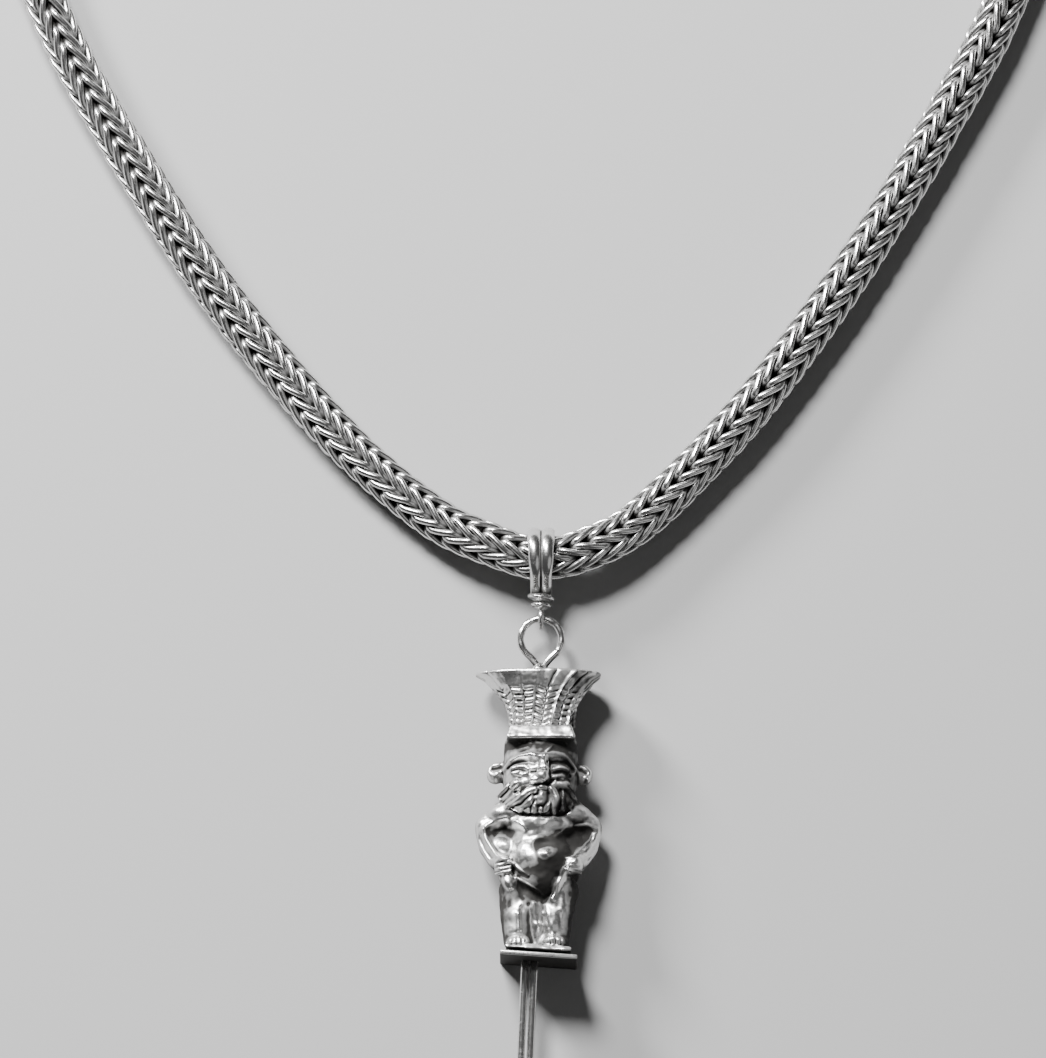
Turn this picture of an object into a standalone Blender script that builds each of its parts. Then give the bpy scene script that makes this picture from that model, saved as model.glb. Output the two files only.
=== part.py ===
"""A loop-in-loop chain necklace with a cast amulet, lying face up.

Everything is in metres, with +Z up, +X right and +Y from the pendant to the clasp.
"""
import math

import bmesh
import bpy
from mathutils import Matrix, Vector

# The chain: its crest radius, the wire of its links and the distance from one link to the next.
CHAIN_RADIUS = 0.0022
LINK_WIRE = 0.00066
LINK_PITCH = 0.00186
# Each link shows as four pairs of legs, so eight columns of slanted wire run round the chain.
LEG_COLUMNS = 8
# A leg runs forward by this many links between the line where it comes out and the line where it dives.
LEG_REACH = 1.75
# Past this distance from the bail, where the photo's edge cuts the chain off, one crest stands for
# this many links.
DETAILED_REACH = 0.079
PLAIN_LINKS = 3
# The twist: the angle of a line of openings at the bail, and its turn from link to link on each side.
TWIST_AT_BAIL = math.radians(-21)
TWIST_BEFORE_BAIL = math.radians(1.67)
TWIST_AFTER_BAIL = math.radians(1.15)

# The necklace as it lies, between chain centre lines, and the clearance where pieces touch.
NECKLACE_WIDTH = 0.117
NECKLACE_LENGTH = 0.142
CLEARANCE = 0.0003
# How far along the chain its rise from the ground to the bail or to a cap is spread.
RISE_LENGTH = 0.0105

# The bail: a strap of two ribs round the chain, two collar discs below it and an eye.
BAIL_THICKNESS = 0.0006
BAIL_WIDTH = 0.0027
BAIL_NECK = 0.0005
BAIL_NECK_TAPER = 0.72
COLLAR_RADIUS = 0.00135
COLLAR_HEIGHT = 0.0009
LOWER_COLLAR_RADIUS = 0.00095
LOWER_COLLAR_HEIGHT = 0.0007
EYE_WIRE = 0.0005

# The ring that joins the bail's eye to the crown.
RING_WIRE = 0.0007
RING_RADIUS = 0.00206
RING_DROP = 0.00566
RING_STEM_SPACING = 0.00084

# The cast amulet. Its own forms are percentages of its height, from its foot up.
FIGURE_HEIGHT = 0.0283
FIGURE_X = -0.00025
FIGURE_TRIANGLES = 1980
SLAB_X = 0.8
CLAY_VOXEL = 0.00023
PLUME_COUNT = 10
PLUME_LEAN = math.radians(18)
BEARD_LOCKS = 7
FOOT_TILT = math.radians(4)

# The plate under the foot and the doubled wire that hangs from it.
PLATE_WIDTH = 0.0077
PLATE_DEPTH = 0.0075
PLATE_THICKNESS = 0.00046
LOWER_WIRE = 0.00076
LOWER_WIRE_SPACING = 0.00092
LOWER_WIRE_LENGTH = 0.0106
LOWER_WIRE_X = -0.0009
LOWER_WIRE_LEAN = math.radians(2.5)

# The caps on the chain's ends and the hook and eye between them.
CAP_WALL = 0.00045
CAP_LENGTH = 0.008
CAP_END = 0.0012
CAP_SHOULDER_RADIUS = 0.0012
CLASP_WIRE = 0.0009
CLASP_EYE_RADIUS = 0.00195
CLASP_STEM = 0.0013
HOOK_REACH = 0.0056

# What follows from the sizes above.
BAIL_INNER = CHAIN_RADIUS + CLEARANCE
BAIL_OUTER = BAIL_INNER + BAIL_THICKNESS
BAIL_Z = BAIL_OUTER
COLLAR_TOP = -(BAIL_OUTER + BAIL_NECK)
COLLAR_BOTTOM = COLLAR_TOP - COLLAR_HEIGHT - LOWER_COLLAR_HEIGHT
EYE_RADIUS = (RING_WIRE + EYE_WIRE) / 2 + CLEARANCE
EYE_Y = COLLAR_BOTTOM - EYE_RADIUS
CROWN_TOP = EYE_Y - RING_DROP
FIGURE_BOTTOM = CROWN_TOP - FIGURE_HEIGHT
PLATE_TOP = FIGURE_BOTTOM - CLEARANCE / math.cos(FOOT_TILT)
PLATE_BOTTOM = PLATE_TOP - PLATE_THICKNESS
CAP_BORE = CHAIN_RADIUS + CLEARANCE
CAP_RADIUS = CAP_BORE + CAP_WALL
CAP_FACE_LEFT = -HOOK_REACH
CAP_FACE_RIGHT = 2 * CLASP_EYE_RADIUS + CLASP_WIRE / 2 + CLASP_STEM
CHAIN_END_GAP = CAP_END + CLEARANCE
HOOK_BEND = CLASP_WIRE + CLEARANCE
PERCENT = FIGURE_HEIGHT / 100

# The way the loose chain lies, from the bail up: shares of half the width and of the length.
LEFT_WAY = (
    (0.095, 0.012), (0.191, 0.033), (0.345, 0.088), (0.533, 0.180), (0.672, 0.266), (0.831, 0.382),
    (0.938, 0.505), (0.995, 0.645), (0.962, 0.785), (0.800, 0.905), (0.530, 0.980), (0.330, 1.0),
)
RIGHT_WAY = (
    (0.090, 0.009), (0.180, 0.032), (0.335, 0.097), (0.463, 0.165), (0.573, 0.233), (0.680, 0.308),
    (0.790, 0.394), (0.905, 0.520), (0.990, 0.655), (0.962, 0.790), (0.800, 0.907), (0.540, 0.980),
    (0.350, 1.0),
)

PARTS = "loop_in_loop_necklace"
CUTTERS = "necklace_cutters"


def start_scene():
    for leftover in list(bpy.data.objects):
        bpy.data.objects.remove(leftover, do_unlink=True)
    for name in (PARTS, CUTTERS):
        collection = bpy.data.collections.get(name) or bpy.data.collections.new(name)
        if name not in bpy.context.scene.collection.children:
            bpy.context.scene.collection.children.link(collection)


def silver(name, colour, roughness):
    material = bpy.data.materials.new(name)
    material.use_nodes = True
    shader = material.node_tree.nodes["Principled BSDF"]
    shader.inputs["Base Color"].default_value = (*colour, 1)
    shader.inputs["Roughness"].default_value = roughness
    shader.inputs["Metallic"].default_value = 1
    return material


def add_part(name, data, material, group=PARTS):
    """Links a mesh or curve under the necklace's own empty, with its material."""
    part = bpy.data.objects.new(name, data)
    bpy.data.collections[group].objects.link(part)
    data.materials.append(material)
    part.parent = bpy.data.objects["necklace_frame"]
    return part


def smooth(part, angle=40):
    part.data.shade_smooth()
    part.data.set_sharp_from_angle(angle=math.radians(angle))
    return part


def mesh_from(bm, name):
    bmesh.ops.recalc_face_normals(bm, faces=bm.faces)
    mesh = bpy.data.meshes.new(name)
    bm.to_mesh(mesh)
    bm.free()
    return mesh


def loft(bm, rings):
    """Joins rings of equal numbers of points with quads and closes both ends."""
    rows = [[bm.verts.new(point) for point in ring] for ring in rings]
    count = len(rows[0])
    for lower, upper in zip(rows, rows[1:]):
        for i in range(count):
            j = (i + 1) % count
            bm.faces.new((lower[i], lower[j], upper[j], upper[i]))
    bm.faces.new(rows[0])
    bm.faces.new(rows[-1])
    return rows


def curve_points(controls, steps):
    """A smooth curve through the control points, as a list of points."""
    ends = [controls[0] * 2 - controls[1], *controls, controls[-1] * 2 - controls[-2]]
    points = []
    for a, b, c, d in zip(ends, ends[1:], ends[2:], ends[3:]):
        for i in range(steps):
            t = i / steps
            points.append(0.5 * (2 * b + (c - a) * t + (2 * a - 5 * b + 4 * c - d) * t**2
                                 + (3 * b - a - 3 * c + d) * t**3))
    points.append(controls[-1])
    return points


def wire(name, points, diameter, closed=False, sides_level=2):
    """A round wire along the points, with capped ends."""
    curve = bpy.data.curves.new(name, "CURVE")
    curve.dimensions = "3D"
    curve.bevel_depth = diameter / 2
    curve.bevel_resolution = sides_level
    curve.use_fill_caps = True
    spline = curve.splines.new("POLY")
    spline.points.add(len(points) - 1)
    spline.use_cyclic_u = closed
    for knot, point in zip(spline.points, points):
        knot.co = (*point, 1)
    return curve


def solid_from_curve(name, curve, material, group=PARTS):
    """Turns a curve into a closed mesh, so that it can be cut or joined."""
    guide = bpy.data.objects.new(name + "_guide", curve)
    bpy.context.scene.collection.objects.link(guide)
    evaluated = guide.evaluated_get(bpy.context.evaluated_depsgraph_get())
    mesh = bpy.data.meshes.new_from_object(evaluated)
    bpy.data.objects.remove(guide, do_unlink=True)
    bm = bmesh.new()
    bm.from_mesh(mesh)
    bmesh.ops.remove_doubles(bm, verts=bm.verts, dist=1e-6)
    bm.to_mesh(mesh)
    bm.free()
    mesh.materials.clear()
    return add_part(name, mesh, material, group)


def boolean(part, other, operation):
    other.hide_render = True
    other.display_type = "WIRE"
    modifier = part.modifiers.new(other.name, "BOOLEAN")
    modifier.operation = operation
    modifier.object = other


def circle(count):
    return [(math.cos(math.tau * i / count), math.sin(math.tau * i / count)) for i in range(count)]


class ChainWay:
    """The chain's centre line from cap to cap through the bail, by length from the bail."""

    def __init__(self):
        half = NECKLACE_WIDTH / 2
        mouth = CAP_LENGTH + CHAIN_RADIUS
        left = [Vector((-x * half, y * NECKLACE_LENGTH, 0)) for x, y in LEFT_WAY]
        right = [Vector((x * half, y * NECKLACE_LENGTH, 0)) for x, y in RIGHT_WAY]
        top = NECKLACE_LENGTH
        left += [Vector((CAP_FACE_LEFT - mouth, top, 0)), Vector((CAP_FACE_LEFT - CHAIN_END_GAP, top, 0))]
        right += [Vector((CAP_FACE_RIGHT + mouth, top, 0)), Vector((CAP_FACE_RIGHT + CHAIN_END_GAP, top, 0))]
        flat = curve_points([*reversed(left), Vector((0, 0, 0)), *right], 12)
        self.points = flat
        self.lengths = [0.0]
        for a, b in zip(flat, flat[1:]):
            self.lengths.append(self.lengths[-1] + (b - a).length)
        self.bail = self.lengths[len(left) * 12]
        self.start = -self.bail
        self.end = self.lengths[-1] - self.bail
        self.top = max(point.y for point in flat)
        self.left_edge = min(point.x for point in flat)
        self.right_edge = max(point.x for point in flat)

    def flat_at(self, length):
        """The place on the ground plane at this length from the bail."""
        target = min(max(length + self.bail, 0.0), self.lengths[-1])
        low, high = 0, len(self.lengths) - 1
        while high - low > 1:
            middle = (low + high) // 2
            if self.lengths[middle] <= target:
                low = middle
            else:
                high = middle
        share = (target - self.lengths[low]) / (self.lengths[high] - self.lengths[low])
        return self.points[low].lerp(self.points[high], share)

    def height(self, length):
        """The chain lies on the ground, and rises where the bail's strap and the caps go under it."""
        def eased(distance, spread):
            share = min(max(1 - distance / spread, 0), 1)
            return share * share * (3 - 2 * share)
        rise = (BAIL_OUTER - CHAIN_RADIUS) * eased(abs(length) - BAIL_WIDTH, RISE_LENGTH)
        cap = CAP_LENGTH - CHAIN_END_GAP
        ends = min(length - self.start, self.end - length)
        rise += (CAP_RADIUS - CHAIN_RADIUS) * eased(ends - cap - CLEARANCE, RISE_LENGTH)
        return CHAIN_RADIUS + rise

    def frame(self, length):
        """Centre, upward direction and right-hand direction across the chain."""
        step = LINK_PITCH / 2
        before = min(max(length, self.start + step), self.end - step)
        a, b = self.flat_at(before - step), self.flat_at(before + step)
        a.z, b.z = self.height(before - step), self.height(before + step)
        along = (b - a).normalized()
        right = along.cross(Vector((0, 0, 1))).normalized()
        centre = self.flat_at(length)
        centre.z = self.height(length)
        return centre, right.cross(along), right

    def on_surface(self, length, angle, radius):
        centre, up, right = self.frame(length)
        rate = TWIST_BEFORE_BAIL if length < 0 else TWIST_AFTER_BAIL
        turned = angle + TWIST_AT_BAIL + rate * length / LINK_PITCH
        return centre + radius * (math.cos(turned) * up + math.sin(turned) * right)


def chain(way, material):
    """The links fused as one rope: each link is a zigzag crest, with a zigzag groove before the next."""
    def ring(length, radius, reach):
        points = []
        for column in range(LEG_COLUMNS):
            forward = reach if column % 2 else 0
            angle = math.tau * column / LEG_COLUMNS
            points.append(way.on_surface(length + forward, angle, radius))
        return points

    reach = LEG_REACH * LINK_PITCH
    groove = CHAIN_RADIUS - LINK_WIRE / 2
    rings = [ring(way.start, groove, 0)]
    length = way.start + LINK_PITCH
    while length < way.end - reach - PLAIN_LINKS * LINK_PITCH:
        pitch = LINK_PITCH * (1 if abs(length) < DETAILED_REACH else PLAIN_LINKS)
        rings.append(ring(length, CHAIN_RADIUS, reach))
        rings.append(ring(length + pitch / 2, groove, reach))
        length += pitch
    rings.append(ring(way.end, groove, 0))
    bm = bmesh.new()
    loft(bm, rings)
    return smooth(add_part("loop_in_loop_chain", mesh_from(bm, "loop_in_loop_chain"), material), 60)


def strap_way(radius, count):
    """The strap's way in the plane across the chain: round it, and together towards the collar."""
    points = []
    half_open = math.radians(38)
    for i in range(count):
        angle = -math.pi / 2 + half_open + (math.tau - 2 * half_open) * i / (count - 1)
        points.append(Vector((0, radius * math.sin(angle), BAIL_Z + radius * math.cos(angle))))
    inset = BAIL_THICKNESS * 0.62
    front = Vector((0, COLLAR_TOP, BAIL_Z + inset))
    back = Vector((0, COLLAR_TOP, BAIL_Z - inset))
    low = Vector((0, -COLLAR_HEIGHT / 2, 0))
    return [front + low, front, *points, back, back + low]


def bail(material):
    """The strap: a section with a groove between two ribs, swept round the chain, with collar and eye."""
    middle = (BAIL_INNER + BAIL_OUTER) / 2
    way = strap_way(middle, 15)
    half_width, half_thick = BAIL_WIDTH / 2, BAIL_THICKNESS / 2
    groove = half_thick * 0.45
    section = (
        (-half_width, 0), (-half_width * 0.75, -half_thick), (0, -half_thick * 0.8),
        (half_width * 0.75, -half_thick), (half_width, 0), (half_width * 0.75, half_thick),
        (half_width * 0.5, half_thick), (0, groove), (-half_width * 0.5, half_thick),
        (-half_width * 0.75, half_thick),
    )
    bm = bmesh.new()
    rings = []
    for i, point in enumerate(way):
        before, after = way[max(i - 1, 0)], way[min(i + 1, len(way) - 1)]
        along = (after - before).normalized()
        outward = Vector((1, 0, 0)).cross(along)
        ends = min(i, len(way) - 1 - i)
        narrow = BAIL_NECK_TAPER + (1 - BAIL_NECK_TAPER) * min(ends / 5, 1)
        rings.append([point + Vector((across * narrow, 0, 0)) + outward * out for across, out in section])
    loft(bm, rings)
    strap = add_part("bail", mesh_from(bm, "bail"), material)
    flat = Matrix.Rotation(math.radians(90), 4, "X")
    let_in = LOWER_COLLAR_HEIGHT * 0.2
    lower_top = COLLAR_TOP - COLLAR_HEIGHT + let_in
    for name, top, height, radius in (
            ("bail_collar", COLLAR_TOP, COLLAR_HEIGHT, COLLAR_RADIUS),
            ("bail_lower_collar", lower_top, LOWER_COLLAR_HEIGHT + let_in, LOWER_COLLAR_RADIUS)):
        disc = bmesh.new()
        bmesh.ops.create_cone(disc, cap_ends=True, segments=12, radius1=radius, radius2=radius, depth=height,
                              matrix=Matrix.Translation((0, top - height / 2, BAIL_Z)) @ flat)
        piece = add_part(name, mesh_from(disc, name), material, CUTTERS)
        boolean(strap, piece, "UNION")
    eye = [Vector((0, EYE_Y + EYE_RADIUS * math.sin(a), BAIL_Z + EYE_RADIUS * math.cos(a)))
           for a in (math.tau * i / 12 for i in range(12))]
    curve = wire("bail_eye", eye, EYE_WIRE, closed=True, sides_level=1)
    ring = solid_from_curve("bail_eye", curve, material, CUTTERS)
    boolean(strap, ring, "UNION")
    return smooth(strap)


def crown_ring(material):
    """The wire ring, open at the foot, where its two ends go down side by side into the crown."""
    centre = EYE_Y - RING_RADIUS
    stem = RING_STEM_SPACING / 2
    foot = CROWN_TOP + CLEARANCE
    turn = centre - RING_RADIUS - RING_WIRE * 0.4
    opening = math.radians(26)
    count = 17
    points = []
    for i in range(count):
        angle = -math.pi / 2 + opening + (math.tau - 2 * opening) * i / (count - 1)
        x, y = RING_RADIUS * math.cos(angle), centre + RING_RADIUS * math.sin(angle)
        points.append(Vector((x, y, BAIL_Z)))
    right = [Vector((stem, foot, BAIL_Z)), Vector((stem, turn, BAIL_Z))]
    left = [Vector((-stem, turn, BAIL_Z)), Vector((-stem, foot, BAIL_Z))]
    curve = wire("crown_ring", [*right, *points, *left], RING_WIRE)
    return add_part("crown_ring", curve, material)


def place(x, up, out):
    """A place on the figure, in percentages of its height: across, up from the foot, out from the back."""
    return Vector((x * PERCENT, up * PERCENT, out * PERCENT))


def ball(bm, centre, radii, turn=0.0, segments=14):
    """An ellipsoid of clay, turned about the axis that points out of the figure."""
    scale = Matrix.Diagonal((*(r * PERCENT for r in radii), 1))
    spin = Matrix.Rotation(math.radians(turn), 4, "Z")
    bmesh.ops.create_uvsphere(bm, u_segments=segments, v_segments=segments // 2 + 2, radius=1,
                              matrix=Matrix.Translation(place(*centre)) @ spin @ scale)


def limb(bm, joints, sides=10):
    """A tapered limb of clay through the joints, each with its own radius."""
    for (*start, first), (*end, last) in zip(joints, joints[1:]):
        a, b = place(*start), place(*end)
        along = (b - a).normalized()
        side = along.orthogonal().normalized()
        other = along.cross(side)
        rings = [[point + (side * c + other * s) * radius * PERCENT for c, s in circle(sides)]
                 for point, radius in ((a, first), (b, last))]
        loft(bm, rings)
        for joint, radius in ((start, first), (end, last)):
            ball(bm, joint, (radius, radius, radius), segments=sides)


def face_depth(x, up, share=1.0):
    """How far out the round of the head lies at this place: features are set on it."""
    across, above = (x - 0.4) / 13.4, (up - 62) / 15.0
    return 14 + 12.6 * share * math.sqrt(max(0.03, 1 - across * across - above * above))


def on_face(points, lift):
    """Joints for a ridge on the round head, raised by lift: each point has x, height and radius."""
    return [(x, up, face_depth(x, up) + lift, radius) for x, up, radius in points]


def head(bm):
    """A round lion-like head: brow, lidded eyes, broad nose, cheeks, tongue, ears and a beard of locks."""
    ball(bm, (0.4, 62, 14), (13.4, 15, 12.6))
    loft(bm, [[place(0.4 + half * c, up, 14 + deep * s) for c, s in circle(20)]
              for up, half, deep in ((75.4, 12.8, 12.2), (70.0, 13.2, 12.6), (65.0, 12.9, 12.2))])
    ball(bm, (0.2, 53.5, 14), (13.8, 8, 12.4))
    left_brow = ((-11.6, 64.6, 0.9), (-9.0, 67.6, 1.2), (-5.4, 69.2, 1.3), (-1.0, 68.8, 1.4),
                 (2.2, 67.2, 1.4))
    right_brow = ((2.6, 67.6, 1.4), (5.2, 69.4, 1.3), (8.6, 69.2, 1.2), (11.0, 67.2, 1.0), (12.4, 65.0, 0.8))
    limb(bm, on_face(left_brow, 0.9), 6)
    limb(bm, on_face(right_brow, 0.9), 6)
    limb(bm, ((1.0, 68.0, 26.4, 1.9), (0.6, 63.0, 28.0, 2.2), (0.4, 60.0, 28.6, 2.5)), 8)
    ball(bm, (0.2, 59.2, 27.6), (4.6, 2.1, 2.4))
    ball(bm, (1.4, 53.4, 25.8), (2.1, 3.3, 2.2))
    for side in (-1, 1):
        ball(bm, (0.4 + side * 14.4, 64.6, 12.5), (4.2, 4.4, 3.2), turn=side * 18)
        ball(bm, (side * 7.8, 64.2, 24.0), (3.3, 1.7, 1.8), turn=side * -8)
        ball(bm, (side * 8.0, 59.0, 22.6), (4.0, 2.4, 2.6), turn=side * -30)
        cheek = ((2.6, 57.6, 1.3), (6.2, 55.4, 1.3), (9.6, 51.6, 1.1))
        limb(bm, on_face([(side * x, up, radius) for x, up, radius in cheek], 1.2), 6)
    for lock in range(BEARD_LOCKS):
        angle = math.radians(200 + 140 * lock / (BEARD_LOCKS - 1))
        root_x, root_up = 8.6 * math.cos(angle), 54.6 + 3.0 * math.sin(angle)
        tip_x, tip_up = 13.4 * math.cos(angle), 54.4 + 7.4 * math.sin(angle)
        limb(bm, ((root_x, root_up, 24.6, 1.9), (tip_x, tip_up, 20.4 - 3.0 * math.sin(angle), 1.5)), 6)


def body(bm):
    """Broad shoulders, hands on the hips, a round belly with its navel, and legs close together."""
    ball(bm, (-8.6, 50.2, 12.5), (9.6, 4.4, 9.8))
    ball(bm, (8.6, 50.2, 12.5), (9.6, 4.4, 9.8))
    ball(bm, (0, 46.4, 12.0), (12.0, 6.0, 12.0))
    ball(bm, (0, 40, 10), (12.5, 13, 13.0))
    ball(bm, (0, 38, 8), (18.6, 11.5, 9.5))
    ball(bm, (0.6, 32.2, 15.4), (12.0, 12.0, 12.0))
    ball(bm, (0, 22.5, 10), (13.8, 9.0, 11.0))
    limb(bm, ((-9.8, 31.0, 22.4, 1.2), (-4.6, 25.2, 24.6, 1.2), (0.4, 20.4, 24.4, 1.1)), 6)
    limb(bm, ((9.8, 28.0, 22.4, 1.2), (7.2, 23.6, 24.2, 1.2), (4.4, 19.4, 24.2, 1.1)), 6)
    for side in (-1, 1):
        limb(bm, ((side * 10.5, 51.0, 11.5, 5.4), (side * 17.6, 45.0, 12.0, 4.9),
                  (side * 16.8, 38.4, 13.5, 4.1),
                  (side * 14.6, 33.8, 18.0, 3.6), (side * 12.9, 31.6, 21.6, 2.8)), 10)
        ball(bm, (side * 12.6, 31.0, 22.0), (3.4, 3.8, 2.4))
        for finger in range(4):
            up = 33.8 - finger * 1.8
            limb(bm, ((side * 14.8, up, 22.0, 0.95), (side * 10.2, up - 0.7, 24.2, 0.85)), 6)
    limb(bm, ((-7.8, 22.0, 14.0, 6.4), (-8.0, 13.2, 16.6, 5.4), (-7.6, 4.6, 16.2, 4.9)), 12)
    limb(bm, ((7.2, 22.0, 14.0, 7.0), (6.2, 13.2, 16.8, 5.8), (5.8, 4.6, 16.2, 5.1)), 12)
    ball(bm, (-7.2, 3.2, 18.4), (4.9, 2.9, 6.8))
    ball(bm, (5.6, 3.2, 18.4), (5.1, 2.9, 6.8))
    limb(bm, ((-1.6, 18.0, 19.6, 1.6), (-1.8, 11.0, 19.0, 1.4), (-1.8, 4.0, 18.4, 1.4)), 8)
    ball(bm, (-0.8, 10, 9.5), (9.5, 10.0, 9.5))


def hollows(bm):
    """What is pressed into the clay: the pits under the shoulders, the navel and the hollows of the ears."""
    for side in (-1, 1):
        ball(bm, (side * 11.6, 44.6, 22.6), (5.8, 3.0, 7.6), turn=side * 14)
        ball(bm, (0.4 + side * 15.6, 64.6, 16.2), (1.9, 2.4, 2.4), segments=10)
    ball(bm, (0.6, 37.2, 28.2), (2.8, 2.3, 2.4), segments=10)


def reduced(name, clay, voxel, triangles):
    """Fuses the overlapping clay into one skin and thins it to about this many triangles."""
    lump = bpy.data.objects.new(name, clay)
    bpy.context.scene.collection.objects.link(lump)
    fuse = lump.modifiers.new("fuse", "REMESH")
    fuse.mode = "VOXEL"
    fuse.voxel_size = voxel
    dense = bpy.data.meshes.new_from_object(lump.evaluated_get(bpy.context.evaluated_depsgraph_get()))
    bpy.data.objects.remove(lump, do_unlink=True)
    thin = bpy.data.objects.new(name + "_thin", dense)
    bpy.context.scene.collection.objects.link(thin)
    relax = thin.modifiers.new("relax", "SMOOTH")
    relax.factor = 0.5
    relax.iterations = 2
    fewer = thin.modifiers.new("fewer", "DECIMATE")
    fewer.ratio = min(1.0, triangles / (2 * len(dense.polygons)))
    mesh = bpy.data.meshes.new_from_object(thin.evaluated_get(bpy.context.evaluated_depsgraph_get()))
    bpy.data.objects.remove(thin, do_unlink=True)
    mesh.materials.clear()
    return mesh


def crown(bm):
    """Tall plumes that lean a little and flare to their tips, with a groove between one and the next."""
    profile = ((79.2, 0.9, 10.7, 11.2), (84.4, 0.8, 11.0, 11.4), (89.4, 0.6, 12.4, 11.9),
               (93.2, 0.3, 15.2, 12.5), (97.1, 0.1, 18.9, 13.1), (99.0, 0.0, 21.5, 13.3),
               (100.0, 0.0, 21.9, 13.3))
    rows = 13
    around = PLUME_COUNT * 4
    rings = []
    for row in range(rows):
        up = 79.2 + 20.8 * row / (rows - 1)
        for lower, upper in zip(profile, profile[1:]):
            if up <= upper[0] + 1e-6:
                share = (up - lower[0]) / (upper[0] - lower[0])
                middle, half, deep = (a + (b - a) * share for a, b in zip(lower[1:], upper[1:]))
                break
        notch = 0.6 if row % 2 and up < 95 else 0.0
        ring = []
        for i in range(around):
            angle = math.pi / 2 + math.tau * i / around + PLUME_LEAN * (100 - up) / 20.8
            ridge = (0.9, 0.35 - notch * 0.5, -0.9 - notch, 0.35 - notch * 0.5)[i % 4]
            x = middle + (half + ridge) * math.cos(angle)
            out = 12.6 + (deep + ridge) * math.sin(angle)
            ring.append(place(x, up, out))
        rings.append(ring)
    loft(bm, rings)


def slab(bm, bottom, top, lower_half, upper_half, lower_front, upper_front):
    """A block that narrows upward, let into the clay behind its back."""
    rings = []
    for up, half, front in ((bottom, lower_half, lower_front), (top, upper_half, upper_front)):
        left, right = SLAB_X - half, SLAB_X + half
        corners = ((left, -3), (right, -3), (right, front), (left, front))
        rings.append([place(x, up, out) for x, out in corners])
    loft(bm, rings)


def foot_step(bm):
    """The thin step under the feet, tilted as the plate below it is."""
    fall = math.tan(FOOT_TILT) * 11.6
    corners = ((-11.6, -3), (11.6, -3), (11.6, 25.4), (-11.6, 25.4))
    rings = [[place(x, up - fall * x / 11.6, out) for x, out in corners] for up in (0, 1.9)]
    loft(bm, rings)


def amulet_figure(material):
    """The whole cast amulet: clay forms fused and thinned, with crown, slab and step, and flat behind."""
    clay, pits = bmesh.new(), bmesh.new()
    head(clay)
    body(clay)
    hollows(pits)
    fused = reduced("amulet", mesh_from(clay, "amulet"), CLAY_VOXEL, FIGURE_TRIANGLES)
    figure = add_part("amulet_figure", fused, material)
    pressed = add_part("amulet_hollows", mesh_from(pits, "amulet_hollows"), material, CUTTERS)
    boolean(figure, pressed, "DIFFERENCE")
    for name, build in (("amulet_crown", crown), ("amulet_step", foot_step)):
        bm = bmesh.new()
        build(bm)
        boolean(figure, add_part(name, mesh_from(bm, name), material, CUTTERS), "UNION")
    bm = bmesh.new()
    slab(bm, 74.9, 80.0, 12.2, 10.5, 26.8, 25.0)
    boolean(figure, add_part("amulet_slab", mesh_from(bm, "amulet_slab"), material, CUTTERS), "UNION")
    bm = bmesh.new()
    back = Matrix.Translation(place(0, 50, -10)) @ Matrix.Diagonal((*place(60, 120, 20), 1))
    bmesh.ops.create_cube(bm, size=1, matrix=back)
    behind = add_part("amulet_back_cut", mesh_from(bm, "amulet_back_cut"), material, CUTTERS)
    boolean(figure, behind, "DIFFERENCE")
    where = Vector((FIGURE_X, FIGURE_BOTTOM, 0))
    for piece in (figure, *[m.object for m in figure.modifiers]):
        piece.location = where
    return smooth(figure, 55)


def base_plate(material):
    bm = bmesh.new()
    bmesh.ops.create_cube(bm, size=1, matrix=Matrix.Diagonal((PLATE_WIDTH, PLATE_THICKNESS, PLATE_DEPTH, 1)))
    plate = add_part("base_plate", mesh_from(bm, "base_plate"), material)
    plate.location = (FIGURE_X, (PLATE_TOP + PLATE_BOTTOM) / 2, PLATE_DEPTH / 2)
    plate.rotation_euler = (0, 0, -FOOT_TILT)
    bevel = plate.modifiers.new("edge", "BEVEL")
    bevel.width = PLATE_THICKNESS * 0.22
    bevel.segments = 1
    return plate


def lower_wire_loop(material):
    """The doubled wire below the plate, closed by a plain bend at its foot."""
    half = LOWER_WIRE_SPACING / 2
    straight = LOWER_WIRE_LENGTH - half - LOWER_WIRE / 2
    points = [Vector((-half, 0, 0)), Vector((-half, -straight, 0))]
    for i in range(1, 6):
        angle = math.pi + math.pi * i / 6
        points.append(Vector((half * math.cos(angle), -straight + half * math.sin(angle), 0)))
    points += [Vector((half, -straight, 0)), Vector((half, 0, 0))]
    loop = add_part("lower_wire_loop", wire("lower_wire_loop", points, LOWER_WIRE, sides_level=2), material)
    drop = CLEARANCE + math.sin(FOOT_TILT + LOWER_WIRE_LEAN) * LOWER_WIRE_SPACING
    fall = math.tan(FOOT_TILT) * LOWER_WIRE_X
    loop.location = (FIGURE_X + LOWER_WIRE_X, PLATE_BOTTOM - fall - drop, PLATE_DEPTH / 2)
    loop.rotation_euler = (0, 0, -LOWER_WIRE_LEAN)
    return loop


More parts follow.
